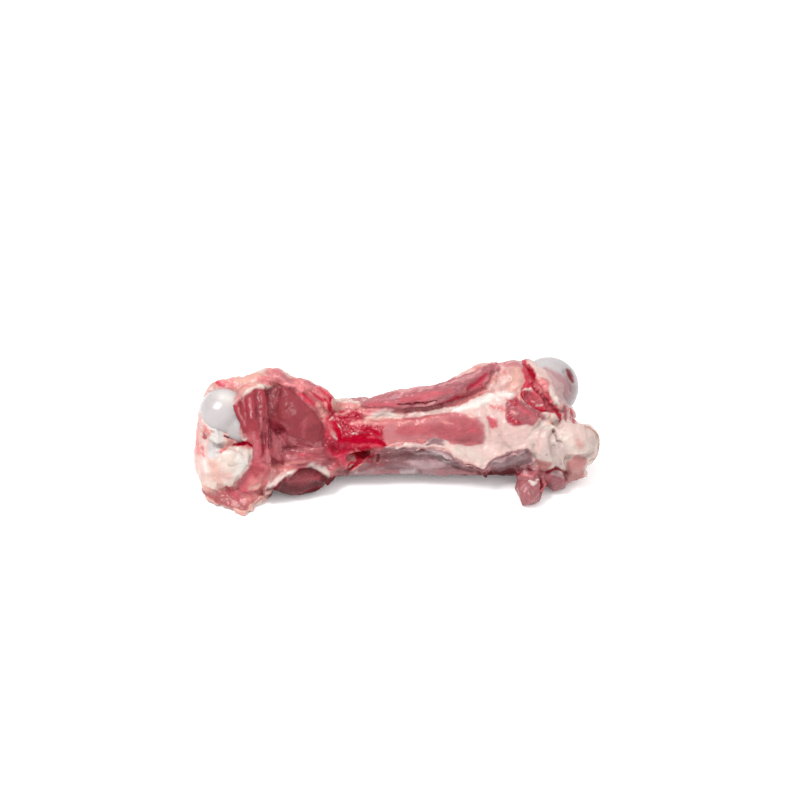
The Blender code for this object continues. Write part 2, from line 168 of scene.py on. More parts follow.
class Heap:
    def __init__(self):
        self.points, self.faces, self.count = [], [], 0

    def add(self, points, faces):
        self.points.append(np.asarray(points, float))
        self.faces.append(np.asarray(faces, int) + self.count)
        self.count += len(points)

    def to_mesh(self, name):
        mesh = bpy.data.meshes.new(name)
        mesh.from_pydata(np.vstack(self.points), [], np.vstack(self.faces))
        return mesh


def unit_ball(rounds):
    bm = bmesh.new()
    bmesh.ops.create_icosphere(bm, subdivisions=rounds, radius=1.0)
    points = np.array([vertex.co for vertex in bm.verts])
    faces = np.array([[vertex.index for vertex in face.verts] for face in bm.faces])
    bm.free()
    return points, faces


BALLS = {rounds: unit_ball(rounds) for rounds in (1, 2, 3, 4)}


def placed(points, matrix):
    table = np.array(matrix)
    return points @ table[:3, :3].T + table[:3, 3]


def lump(heap, centre, radii, turn=(0, 0, 0), rounds=3):
    angles = Euler([math.radians(a) for a in turn])
    points, faces = BALLS[rounds]
    heap.add(placed(points, Matrix.LocRotScale(Vector(centre), angles, Vector(radii))), faces)


def block(heap, centre, size, turn=(0, 0, 0)):
    angles = Euler([math.radians(a) for a in turn])
    corners = np.array(list(np.ndindex(2, 2, 2))) - 0.5
    sides = [(0, 1, 3, 2), (4, 6, 7, 5), (0, 4, 5, 1), (2, 3, 7, 6), (0, 2, 6, 4), (1, 5, 7, 3)]
    faces = [half for a, b, c, d in sides for half in ((a, b, c), (a, c, d))]
    heap.add(placed(corners, Matrix.LocRotScale(Vector(centre), angles, Vector(size))), faces)


def smooth_path(stops, steps):
    """Points on a Catmull-Rom curve through the stops, as an array."""
    rows = np.array(stops, float)
    if len(rows) == 1:
        return rows
    rows = np.vstack([2 * rows[0] - rows[1], rows, 2 * rows[-1] - rows[-2]])
    t = (np.arange(steps) / steps)[:, None]
    pieces = [
        0.5
        * (
            2 * start
            + (end - before) * t
            + (2 * before - 5 * start + 4 * end - after) * t**2
            + (3 * start - before - 3 * end + after) * t**3
        )
        for before, start, end, after in zip(rows, rows[1:], rows[2:], rows[3:])
    ]
    return np.vstack([*pieces, rows[-2]])


def strand(heap, stops, flat=1.0):
    """A tapering row of beads through stops of (x, y, z, radius)."""
    points = smooth_path(stops, STRAND_STEPS)
    last = None
    for index, point in enumerate(points):
        place, radius = Vector(point[:3]), point[3]
        is_end = index == len(points) - 1
        if last is not None and not is_end and (place - last).length < BEAD_SPACING * radius:
            continue
        along = Vector(points[min(index + 1, len(points) - 1)][:3] - points[max(index - 1, 0)][:3])
        up = Vector((0, 0, 1))
        up = (up - up.project(along)).normalized()
        along.normalize()
        axes = Matrix((along, up.cross(along), up)).transposed()
        size = Matrix.Diagonal((radius, radius, radius * flat))
        ball, faces = BALLS[3]
        heap.add(placed(ball, Matrix.Translation(place) @ (axes @ size).to_4x4()), faces)
        last = place


def even_points(stops, count):
    path = smooth_path(stops, SHEET_STEPS)
    place = np.linspace(0, len(path) - 1, count)
    low = np.minimum(place.astype(int), len(path) - 2)
    return path[low] + (path[low + 1] - path[low]) * (place - low)[:, None]


def sheet(heap, root, edge):
    """A thin sheet that hangs from its root line and ends in a torn edge."""
    roots, edges = even_points(root, SHEET_COLUMNS), even_points(edge, SHEET_COLUMNS)
    tear = 1.0 + SHEET_TEAR * np.array([noise.noise(Vector(p) / SHEET_TEAR_LENGTH) for p in edges])
    reach = tear[:, None] * np.linspace(0, 1, SHEET_ROWS)
    grid = roots[:, None] + (edges - roots)[:, None] * reach[..., None]
    normal = np.cross(np.gradient(grid, axis=0), np.gradient(grid, axis=1))
    normal /= np.linalg.norm(normal, axis=2)[..., None]
    sides = [grid + normal * SHEET_THICKNESS / 2, grid - normal * SHEET_THICKNESS / 2]
    points = np.concatenate([side.reshape(-1, 3) for side in sides])
    half = SHEET_COLUMNS * SHEET_ROWS
    corner = np.arange(half).reshape(SHEET_COLUMNS, SHEET_ROWS)
    quads = np.stack([corner[:-1, :-1], corner[1:, :-1], corner[1:, 1:], corner[:-1, 1:]], -1)
    rim = np.concatenate([corner[:-1, 0], corner[-1, :-1], corner[:0:-1, -1], corner[0, :0:-1]])
    ahead = np.roll(rim, -1)
    walls = np.stack([ahead, rim, rim + half, ahead + half], -1)
    quads = quads.reshape(-1, 4)
    quads = np.vstack([quads, quads[:, ::-1] + half, walls])
    heap.add(points, np.vstack([quads[:, :3], quads[:, [0, 2, 3]]]))


def femur_forms(heap):
    """The bone: knuckle, shaft, neck, round head and the big knob beside it."""
    lump(heap, KNUCKLE_CENTRE, KNUCKLE_RADII)
    lump(heap, (-84, -12, 35.5), (9.5, 9.5, 9))
    lump(heap, (-86, -15, 22), (8, 8, 10))
    lump(heap, (-77, -2, 27), (12, 11, 13))
    shaft = [(-55, 2, 25, SHAFT_RADIUS + 1), (-25, 5, 21, SHAFT_RADIUS), (20, 4, 23, SHAFT_RADIUS)]
    strand(heap, [(-78, -3, 29, 12), *shaft, (50, 8, 26, SHAFT_RADIUS + 1.5), (66, 12, 29, 14)])
    strand(heap, [(62, 14, 31, 11), (74, 22, 33, 10.5), (*HEAD_CENTRE, 11)])
    strand(heap, [(66, 8, 26, 12), (80, -3, 22, 10), (88, -9, 20, 9)])
    lump(heap, HEAD_CENTRE, (HEAD_RADIUS,) * 3, rounds=4)


# The beads of fat at the hip: x, y, z, radius.
HIP_BEADS = stops_of("""
76.9,11.6,46.1,4.1 79.5,8.6,44.6,3.5 81,7.1,42.6,3.4 83.2,5.3,39.8,3.4 85.4,4.7,36.4,3.4
77.3,-5.2,38.2,3.6 81.1,-5,35.4,3.8 85.6,-2.7,32.6,3.6 79.4,-8.9,34.4,3.6 89.9,6.1,32.6,3.4
93.6,8.6,27.8,3.6 90.1,0.3,31.8,3.4
""")


def knuckle_flesh(heap):
    """Muscle, fat and gristle round the knuckle end."""
    lump(heap, (-72, 3, 25), (19, 17, 20))
    strand(heap, stops_of("-59,6,41,9.5 -52,-1,31.5,15 -45,-8,21,11.5 -42,-12,15,7"))
    strand(
        heap,
        stops_of("-76,-2,45,9 -75,-10,38,11.5 -71,-16,29,9.5 -70,-21,20,8 -75,-26,12,7 -81,-30,6,5"),
    )
    strand(heap, stops_of("-80,-4,48,4.5 -82,-9.5,47,4.5 -81,-13,42,4.5 -78,-17,36,5"))
    lump(heap, (-52.5, -20, 11), (17.5, 12, 12.5), turn=(0, 0, 8))
    lump(heap, (-87, -22, 18), (13.5, 11, 14))
    lump(heap, (-93, -15, 24), (10, 9, 11))
    strand(heap, stops_of("-101.3,-11,41.5,2.6 -98,-16.5,37.5,3.6 -93,-19,35,4 -87,-19,31,4"))
    strand(heap, stops_of("-97,-25,4,5 -88,-28.5,3,6 -78,-30,3,7 -70,-26,3,5"), flat=0.6)
    sheet(
        heap,
        stops_of("-100.5,-26,11 -96,-28,9.5 -90,-28.5,8.5 -84,-29.5,9 -77.4,-29.5,12 -71,-27.5,12"),
        stops_of(
            "-102.5,-26.5,4.5 -99.3,-30.5,2.4 -94.1,-34.2,1.8 -89.1,-37.6,1.6 -83.7,-40,1.6"
            " -78.4,-41.8,1.5 -74.5,-37,1.6 -70.5,-27.5,4"
        ),
    )
    sheet(
        heap,
        stops_of("-71,-27,17 -66,-25.5,20 -59.5,-20.5,21 -52.5,-20,22.5 -44,-18,21"),
        stops_of("-70,-33,5 -65,-34,8.5 -59,-34.5,13.5 -53,-34,17 -48,-28.5,16.5"),
    )
    sheet(
        heap,
        stops_of("-50.5,-21,23 -43,-17,22 -36,-15,19 -31,-15,17"),
        stops_of("-48,-28.5,17 -44,-29.5,15 -39,-29.5,11.5 -35.5,-26,9.5 -30,-20,9"),
    )
    strand(
        heap,
        stops_of("-100.5,-2,40,2.5 -100.8,-7,34,4.2 -100,-11,27,6 -98.5,-19,18,7.2 -95.5,-25,9,7"),
    )
    strand(
        heap,
        stops_of(
            "-99,0,43,3.2 -95,3.5,47.5,4 -88,4,48.5,5 -78,6,46,7 -67,12.5,48,6.8 -58,8,47,6.5"
            " -50,8,45,6.2 -41,7,41.5,6 -34,3,37.5,5.5"
        ),
    )
    lump(heap, (-63, -13, 22), (7, 7, 8))
    lump(heap, (-66, 1, 14), (14, 15, 12))
    lump(heap, (-85, -10, 15), (13, 13, 13))
    lump(heap, (-62, 17, 24), (17, 14, 23), turn=(0, 10, 0))
    lump(heap, (-82, 16, 22), (14, 15, 24), turn=(0, -12, 0))
    lump(heap, (-87, 8, 18), (14, 17, 17))
    strand(heap, stops_of("-92,22,14,6 -80,27,20,5 -66,27,27,5 -50,24,31,4"))


def shaft_flesh(heap):
    """The flesh along the shaft: muscles above, in front, below and behind it."""
    strand(
        heap,
        stops_of("-42,1,23.5,14 -23,0,22.5,14.3 0,1,22.5,14.3 20,2,24,14.8 45,5,26,16.5 62,8,28,18"),
    )
    lump(heap, (20.6, -2.8, 26.5), (29, 11.5, 12))
    strand(
        heap,
        stops_of(
            "-22,4.5,34.5,3.5 -9,3,38.2,5.2 5,4,41.8,6.2 18,6,42.6,6.4 31,10.5,44,6.2 42,18,46,5.8"
            " 52,25,46,4.5"
        ),
    )
    strand(heap, stops_of("28,8.5,38.5,5 40,13,40,6 50,17,41,7"))
    strand(heap, stops_of("-36,5.5,36.5,6 -26,6,34.2,5.2 -16,5.5,33.7,5.2 -6,4.5,34.8,5"))
    strand(heap, stops_of("-34,-9,14,11 0,-7.8,14.3,11.4 40,-7.2,14,11.4 68,-8,14,11.5"))
    strand(heap, stops_of("-50,17,18,14 -15,17,16,12.5 20,17,16,12.5 52,20,18,13.5"))
    strand(heap, stops_of("-44,14,27,7 -20,17,24,8 12,19,23.5,8 40,23,23,8 60,26,19,7"))
    strand(heap, stops_of("-30,27,15,4 0,29,12,5.5 30,30,11,5.5 58,29,13,5"))
    sheet(
        heap,
        stops_of("-10,-10,25 5,-10,27 18,-11.5,28 31,-11.5,27 42,-10,25 55,-11,26 69,-16,29"),
        stops_of(
            "-8,-15.5,21 0.4,-16.5,21.8 9,-17.5,23.5 16,-17.5,23.5 23,-19.5,22.5 31,-21,18.5"
            " 39,-22.5,15 46.5,-23.5,12 51,-21.5,17 58.5,-19,19 67,-21.5,24.5"
        ),
    )


def hip_flesh(heap):
    """Fat, gristle and trimmings round the hip end."""
    lump(heap, (62.5, 19, 34), (15, 18.5, 20))
    lump(heap, (65.7, -1, 26), (19, 16.5, 17.5))
    lump(heap, COLLAR_CENTRE, (COLLAR_RADIUS,) * 3)
    lump(heap, (79, -13, 22), (12.5, 12, 14.5))
    lump(heap, (90.5, -11, 20), (14, 13.5, 16))
    lump(heap, (99, -9, 20.5), (8.5, 10, 12))
    block(heap, (93, -13.5, 13.5), (12.5, 13, 17), turn=(8, -8, 20))
    lump(heap, (89, -6, 9), (12, 11, 11))
    lump(heap, (61, 22, 13), (15, 13, 15))
    lump(heap, (85, -2, 27), (8, 8, 9))
    lump(heap, (83, 6, 18), (13, 13, 12))
    strand(heap, stops_of("70,29,47,4.2 76.5,16.5,43.5,5.2 82.5,9.5,36,5.8 90.5,12.5,26,5.8"))
    strand(heap, stops_of("67,22,47,3.5 73,9,42,4 79,1,35,4 86,-4,31,4"))
    strand(heap, stops_of("84,5,30,4 92,2,27,4 97,-1,23,4"))
    strand(heap, stops_of("69,-17,14,6.5 69,-27,8,6.5 70,-31,6,6"))
    lump(heap, (70, -27, 8), (9, 13.5, 8.5), turn=(14, 8, -5), rounds=1)
    strand(heap, stops_of("79,-18,12,6 84,-20,7,5"))
    lump(heap, (84.5, -19.5, 6.8), (8, 7.5, 7.8), turn=(20, 10, 15), rounds=1)
    strand(
        heap,
        stops_of(
            "66.4,6.6,47,1.4 67,4,45,1.5 69,-0.4,44,1.6 72,-3,42.5,1.6 76.3,-2.4,39.8,1.6"
            " 81.5,1.2,35.2,1.6 86,-4.5,34.3,1.5"
        ),
    )
    for *centre, radius in HIP_BEADS:
        lump(heap, centre, (radius,) * 3, rounds=2)


# Channels sunk in the flesh before it sways: half width and depth in mm, stops (x, y, z).
# A negative depth is a ridge.
CHANNELS = """
4.5 3: -64,4,50 -67,-4,46 -67,-13,39 -64,-19,29 -63,-23,22
4 2.5: -63,-24,20 -50,-27,20 -39,-24,18 -33,-18,17
4 2: -47,3,47 -39,-2,39 -33,-8,31 -32,-15,22
3 1.6: -92,-21,29 -80,-25,29
3.5 3: -24,-17,18 -14,-16,21
8 2: -30,8,36 -27,-7,33 -25,-13,24
2.8 1.3: -80,-8,52 -78,-18,45 -75,-23,33
2.8 1.3: -73,-2,54 -72,-13,47 -69,-21,34
3.2 1.8: -11,-18,18 7,-17,19 26,-17,19 35,-21,13 46,-22,9 56,-20,14 70,-21,22
3 1.6: -17,-3,34 9,-4,37 27,0,38 39,6,41 48,13,42 55,18,47
2.6 2: 69,24,50 76,11,46 81,2,38 87,-3,34
3 1.4: 71,-24,17 72,-21,27 75,-14,36 87,-2,32 94,-8,35
5 1.4: 49,-3,40 54,-14,28 62,-19,18
2.6 1.4: 89,-24,24 93,-24,22.5 98,-21,22 103,-17,23
2.8 1.8: 89,-24,23 88.5,-23,16 90,-22,9
2.6 1.4: 83,-15,35 81,-21,32 82.5,-24,26 85.5,-23,17
3 1.4: -40,27,26 -10,28,22 25,29,19 55,32,17
4 2.2: -72,30,34 -73,30,22 -70,29,10
3.5 1.6: 64,36,24 70,34,12 76,28,5
"""

# Folds in the fat at the ends and the back, written like the channels.
FAT_FOLDS = """
2 1.1: -98,42,36 -102,37,26 -101,33,12
1.8 -0.6: -95,42,38 -99,38,27 -98,35,14
1.8 1.1: -104,30,38 -108,26,28 -106,22,16 -102,18,6
1.8 1: -106,14,26 -108,10,17 -104,5,7
2 1.2: -84,45,34 -89,44,22 -87,41,8
1.6 0.9: -80,45,42 -88,42,45 -96,35,43
1.6 0.8: -92,44,14 -97,38,8 -100,30,5
1.8 1: 66,40,34 72,38,26 70,38,15
1.6 0.9: 78,36,40 80,34,28 78,32,14
1.6 0.8: 60,38,40 68,40,42 76,34,43
1.6 0.6: 100,-10,32 105,-12,24 104,-14,14
1.6 0.8: 92,2,14 98,-2,20 100,0,28
"""

# The pit of the round head.
PIT_PATH = [(90.8, 21.9, 47.5), (93.0, 18.5, 42.0), (94.0, 17.2, 39.5)]
PIT_HALF_WIDTH = 2.8
PIT_DEPTH = 2.0


# Seeded noise


def noise_tables():
    draw = np.random.default_rng(NOISE_SEED)
    slopes = draw.normal(size=(256, 3))
    return draw.permutation(256), slopes / np.linalg.norm(slopes, axis=1)[:, None]


SHUFFLE, SLOPES = noise_tables()


def noise_of(points, size, offset=0.0):
    """Smooth noise at each point, from about -1 to 1, with bumps about the given size.

    The offset tells one noise from another.
    """
    place = np.asarray(points) / size + offset
    cell = np.floor(place).astype(int)
    part = place - cell
    ease = part**3 * (part * (part * 6 - 15) + 10)
    total = np.zeros(len(place))
    for corner in np.ndindex(2, 2, 2):
        at = (cell + corner) & 255
        key = SHUFFLE[(SHUFFLE[(SHUFFLE[at[:, 0]] + at[:, 1]) & 255] + at[:, 2]) & 255]
        share = np.where(corner, ease, 1 - ease).prod(1)
        total += share * ((part - corner) * SLOPES[key]).sum(1)
    return total * NOISE_GAIN


def drift(points, size, offsets):
    """One column of noise for each offset."""
    return np.column_stack([noise_of(points, size, offset) for offset in offsets])


# Meshes


def vectors_of(mesh, name):
    flat = np.empty(len(mesh.vertices) * 3)
    mesh.vertices.foreach_get(name, flat)
    return flat.reshape(-1, 3)


def points_of(mesh):
    return vectors_of(mesh, "co")


def set_points(mesh, points):
    mesh.vertices.foreach_set("co", np.ascontiguousarray(points, dtype=np.float32).ravel())
    mesh.update()


def push_in(mesh, points, normals, depth):
    set_points(mesh, points - normals * depth[:, None])


def edges_of(mesh):
    flat = np.empty(len(mesh.edges) * 2, int)
    mesh.edges.foreach_get("vertices", flat)
    return flat.reshape(-1, 2).T


def skin_tree(mesh):
    corners = [tuple(polygon.vertices) for polygon in mesh.polygons]
    return BVHTree.FromPolygons([vertex.co for vertex in mesh.vertices], corners)


def fused(name, heap, voxel, rounds):
    """One skin over the forms, as a new object in millimetres."""
    mesh = heap.to_mesh(name)
    obj = bpy.data.objects.new(name, mesh)
    bpy.context.scene.collection.objects.link(obj)
    remesh = obj.modifiers.new("skin", "REMESH")
    remesh.mode = "VOXEL"
    remesh.voxel_size = voxel
    smooth = obj.modifiers.new("soft", "SMOOTH")
    smooth.factor = 0.5
    smooth.iterations = rounds
    graph = bpy.context.evaluated_depsgraph_get()
    made = bpy.data.meshes.new_from_object(obj.evaluated_get(graph))
    obj.modifiers.clear()
    obj.data = made
    bpy.data.meshes.remove(mesh)
    return obj


def groove(gap):
    """The profile of a channel or crease: full on its line, none at its edge."""
    return (1 - np.minimum(gap, 1) ** 2) ** 2


def carve(mesh, channels):
    """Sinks channels along paths that are first laid on the skin."""
    points, normals = points_of(mesh), vectors_of(mesh, "normal")
    skin = skin_tree(mesh)
    sunk = np.zeros(len(points))
    for half_width, depth, path in channels:
        laid = np.array([skin.find_nearest(Vector(p))[0] for p in smooth_path(path, CHANNEL_STEPS)])
        near = ((points > laid.min(0) - half_width) & (points < laid.max(0) + half_width)).all(1)
        near = np.nonzero(near)[0]
        gap, _ = path_gap(points[near], [(*place, half_width) for place in laid])
        sunk[near] += depth * groove(gap)
    push_in(mesh, points, normals, sunk)


def sway(mesh):
    """The slow sway of the whole form, the same as in the solids."""
    noise.seed_set(NOISE_SEED)
    move = Vector((NOISE_SEED, 0, 0))
    points = points_of(mesh)
    shifts = np.array([noise.noise_vector(Vector(p) / SWAY_LENGTH + move) for p in points])
    set_points(mesh, points + shifts * SWAY_SIZE)


def crags_of(points):
    move = Vector((NOISE_SEED, 0, 0))
    return np.array([noise.fractal(Vector(p) / CRAG_LENGTH + move, 1.0, 2.0, 3) for p in points])


def rest_on_table(mesh):
    points = points_of(mesh)
    points[:, 2] = np.maximum(points[:, 2], TABLE_LEVEL)
    set_points(mesh, points)


def to_row(obj):
    """From the forms' millimetres to the row frame's metres."""
    obj.data.transform(Matrix.Translation(SHIFT))
    obj.data.transform(Matrix.Diagonal((MM, MM, MM, 1.0)))
    obj.data.shade_smooth()


# The picture: where each point of a skin shows in it, and whether it shows


def in_picture(points):
    """Each point's place in the picture, in dots from the top left corner."""
    gap = points - np.array(CAMERA_PLACE)
    ahead = -gap @ np.array(VIEW_BACK)
    scale = PICTURE * LENS / SENSOR / ahead
    across = PICTURE / 2 + (gap @ np.array(VIEW_RIGHT)) * scale
    down = PICTURE / 2 - (gap @ np.array(VIEW_UP)) * scale
    return np.column_stack([across, down])


def shows(mesh, points, normals):
    """How far each point shows in the picture, 0 to 1, fading out just round the edge."""
    to_camera = np.array(CAMERA_PLACE) - points
    to_camera /= np.linalg.norm(to_camera, axis=1)[:, None]
    skin = skin_tree(mesh)
    start = points + normals * RAY_LIFT + to_camera * RAY_LIFT
    size = len(points)
    level = np.zeros(size)
    for index in np.nonzero((normals * to_camera).sum(1) > 0)[0]:
        hit = skin.ray_cast(Vector(start[index]), Vector(to_camera[index]), RAY_REACH)
        level[index] = 1.0 if hit[0] is None else 0.0
    first, second = edges_of(mesh)
    for _ in range(SHOW_WRAP):
        level[first[level[second] > SHOW_FULL]] = 1.0
        level[second[level[first] > SHOW_FULL]] = 1.0
    count = np.bincount(np.concatenate([first, second]), minlength=size)
    for _ in range(SHOW_FADE):
        around = np.bincount(first, level[second], size) + np.bincount(second, level[first], size)
        level = 0.5 * level + 0.5 * around / count
    return level


def warped(points, stray):
    """The points' places in the picture, strayed a little, for uneven edges."""
    slow = drift(points, WARP_SLOW, (3.0, 9.0))
    fast = drift(points, WARP_FAST, (5.0, 7.0))
    return in_picture(points) + (slow * WARP_SLOW_SHARE + fast) * stray


def outline_depth(places, outline):
    """Distance in dots from a closed outline, positive inside it."""
    ring = np.array(outline, float)
    ring = smooth_path(np.vstack([ring, ring[:1]]), OUTLINE_STEPS)
    across, down = places.T
    inside = np.zeros(len(places), bool)
    nearest = np.full(len(places), FAR)
    for (ax, ay), (bx, by) in zip(ring, ring[1:]):
        ex, ey = bx - ax, by - ay
        share = np.clip(((across - ax) * ex + (down - ay) * ey) / (ex * ex + ey * ey + TINY), 0, 1)
        nearest = np.minimum(nearest, np.hypot(across - ax - share * ex, down - ay - share * ey))
        if ey:
            inside ^= ((ay > down) != (by > down)) & (across < ex * (down - ay) / ey + ax)
    return np.where(inside, nearest, -nearest)


def path_gap(places, path):
    """Distance from a tapering line over its radius there, and the places along and across it."""
    path = np.array(path, float)
    if len(path) == 1:
        return np.linalg.norm(places - path[0, :-1], axis=1) / path[0, -1], None
    best = np.full(len(places), FAR)
    along = np.zeros(len(places))
    across = np.zeros(places.shape)
    walked = 0.0
    for start, end in zip(path, path[1:]):
        step = end - start
        length = np.linalg.norm(step[:-1]) + TINY
        offset = places - start[:-1]
        share = np.clip(offset @ step[:-1] / length**2, 0, 1)
        aside = offset - share[:, None] * step[:-1]
        ratio = np.linalg.norm(aside, axis=1) / (start[-1] + share * step[-1])
        nearer = ratio < best
        best[nearer] = ratio[nearer]
        along[nearer] = walked + share[nearer] * length
        across[nearer] = aside[nearer]
        walked += length
    return best, (along, across)


def near_box(places, outline, margin):
    """Which places lie in the box round an outline or a line of stops."""
    table = np.array(outline, float)
    if places.shape[1] < table.shape[1]:
        margin = margin + table[:, -1].max()
    low, high = table[:, : places.shape[1]].min(0), table[:, : places.shape[1]].max(0)
    return np.nonzero(((places > low - margin) & (places < high + margin)).all(1))[0]


# Finishes

# Each finish: how fibrous, lumpy, and bloody and wet it is, its rise in mm, and its colour in sRGB 0-255.
# Several finishes are painted shade and painted sheen, as the notes in the table say.
# painted shade at the edges of the round head
# painted shade in the hollow between the lobes
# painted shade over dark red muscle: for the undersides and the muscle that turns under
# painted shade: a dark band along the lower edges where the flesh meets the table
# painted shade: darker muscle for the creases and gaps between lobes and muscles
# painted sheen and pale fibre: lines and glints along the long strip
# painted sheen and paler muscle: for glints, lit edges and paler bands
# painted sheen on the silver skin, over its own pale streaks
# the next two: dark blood, and painted shade where they lie in holes, slits, gaps and along lower edges
FINISHES = """
base 0.15 0.7 0.3 0: 226,174,166
pink 0.5 0.45 0.4 -0.1: 204,112,116
ham 0.12 0 1.1 0.3: 154,63,71
ham_red 0.3 0.1 0.5 0.2: 168,64,74
ham_dark 0.35 0.1 0.6 -0.3: 146,50,62
ham_pink 0.45 0.2 0.5 -0.1: 182,88,97
ham_light 0.3 0.2 0.6 0.1: 198,110,115
fold 0.35 0.15 0.7 0.1: 210,92,104
under 0.25 0 0.9 0: 100,29,36
undercut 0.2 0 1.3 0: 88,14,24
torn 0.3 0.75 1 0: 174,40,60
blood 0.1 0.25 1.5 -0.2: 184,0,40
blood_pink 0.3 0.4 1 0: 210,60,80
crimson 0.3 0.25 1.2 -0.3: 164,6,40
strip 0.9 0.1 0.4 0.1: 182,102,109
strip_light 0.7 0.3 0.4 0.3: 216,150,152
strip_red 0.5 0.2 1 -0.1: 190,40,68
oval 0.25 0.2 0.4 0: 186,86,94
oval_red 0.2 0.05 0.5 0.1: 193,91,99
salmon 0.3 0.7 0.4 0.1: 222,132,130
rim_pink 0.4 0.9 0.6 0.1: 234,140,142
peach 0.1 0.8 0.4 0.3: 232,176,162
cream 0.1 0.6 0.4 0.4: 232,211,200
white 0.1 0.4 0.5 0.4: 242,234,227
white_pink 0.2 0.5 0.4 0.25: 230,197,190
hip_fat 0.2 1 0.4 0.2: 215,160,153
hip_grey 0.2 0.5 0.3 0.1: 230,194,187
knob 0.1 0.6 0.4 0.1: 220,196,188
knob_pink 0.2 0.3 0.3 0: 188,124,120
tan 0.2 0.6 0.3 0: 188,140,116
meat 0.4 0.4 0.5 -0.1: 172,84,92
scrap 0.5 0.2 0.5 0: 171,97,102
scrap_dark 0.5 0.2 0.5 0: 166,97,103
silver 0.4 0.1 0.5 0: 156,114,118
silver_dark 0.35 0.1 0.5 0: 128,80,85
silver_light 0.4 0.1 0.5 0.2: 187,154,157
membrane 0.3 0.2 0.6 0.4: 226,204,198
dark 0.2 0.1 1.5 -0.3: 138,2,12
dark_red 0.3 0.2 1.3 -0.3: 134,18,36
tendon 0.2 0.1 0.4 0.3: 244,214,202
rim_fat 0.1 0.7 0.4 0.3: 218,158,148
sheet 0.3 0.6 0.4 0.1: 176,90,92
pocket 0.3 0.1 1.3 -0.2: 146,42,56
ligament 0.1 0.3 0.4 0.2: 216,206,204
shred 0.2 0.7 0.4 0.2: 212,172,164
speckle 0.2 0.4 0.4 0.1: 204,120,125
back_meat 0.8 0.15 0.6 0.2: 156,70,78
back_red 0.7 0.15 0.6 0.1: 166,66,76
back_light 0.9 0.3 0.4 0.2: 198,112,116
silver_red 0.35 0.1 0.5 0: 130,62,66
knob_shade 0.1 0.4 0.3 0: 206,180,174
lobe_red 0.04 0 1 0.1: 163,59,69
silver_pale 0.3 0.1 0.5 0.1: 204,182,183
ball_shade 0.05 0.2 0.4 0: 200,164,163
cartilage 0 0 0.2 0: 205,198,198
cartilage_pink 0 0 0.2 0: 188,140,144
cartilage_grey 0 0 0.2 0: 178,160,162
"""

# Broad finishes by place: finish, softness of the edge, stops (x, y, z, radius) in the forms' frame.
# painted shade in a crease along the back
# painted shade in the crease between the back muscles
# painted shade on the bottom
# painted shade on the dark lower muscle
# painted sheen along the back
ZONES = """
pink 0.5: -40,2,28,19 0,2,30,18 50,6,34,17
back_meat 0.5: -42,28,30,9 -10,30,26,11 25,31,25,11 54,34,22,10
back_light 0.9: -34,33,34,3.5 -8,36,31,4.5 22,38,30,4.5 46,38,27,4
back_red 0.5: -46,30,10,8 0,34,9,9 36,35,9,9 60,34,8,8
back_light 0.9: -40,34,11,3 -10,38,10,4 20,40,11,4 50,40,10,3
back_red 0.6: -60,34,38,9 -61,36,22,12 -60,32,6,10
back_light 0.9: -56,40,36,2 -57,44,24,3 -56,42,10,3
ham_dark 1: -64,42,34,2.4 -64,44,22,3 -63,40,8,2.4
white_pink 0.4: -76,34,38,5 -77,33,24,5 -74,31,8,5
salmon 0.6: -73,38,42,2.2 -72,40,28,2.2 -71,38,12,2.2
white_pink 1.6: -44,31,21,0.6 -26,33,20,2 -8,35,18,0.8 12,36,18,2.2 30,37,17,0.5 46,38,16,1.8
 60,38,17,0.8
silver_light 2.2: -30,34,27,0.8 -6,38,24,1.8 14,39,24,0.8
fold 2: -46,30,15,0.6 -20,34,13,1.4 6,36,14,0.6
ham_dark 2: 24,36,35,0.6 42,35,32,1.6 58,34,30,0.6
hip_fat 0.6: 66,30,40,6 70,34,28,7 70,34,14,7
cream 0.8: 62,32,44,3 66,38,32,4 66,38,20,3
fold 0.8: 74,30,20,4 76,26,10,4
ham_pink 0.3: -56,-10,34,19 -44,-14,22,12
under 0.4: -66,-18,4,9 -40,-16,6,14
silver 0.35: -36,-14,8,13 0,-12,7,14 44,-10,7,14 64,-14,8,9
under 0.6: -50,0,-4,11 0,6,-4,12 50,8,-4,12
knob 0.3: 84,-12,24,19 98,-10,22,15
scrap 0.3: 69,-24,6,14 82,-22,5,10
cream 0.8: -88,32,36,8 -94,30,22,9
peach 0.8: -104,14,22,6 -102,2,12,7
ligament 0.5: -103,22,34,4 -106,18,26,6 -104,20,16,5
salmon 2: -99,36,36,2.2 -101,34,27,1.2 -99,33,20,2.4
salmon 2: -107,10,20,1.2 -104,6,12,2.4
fold 0.9: -84,38,12,3 -90,30,5,3
"""
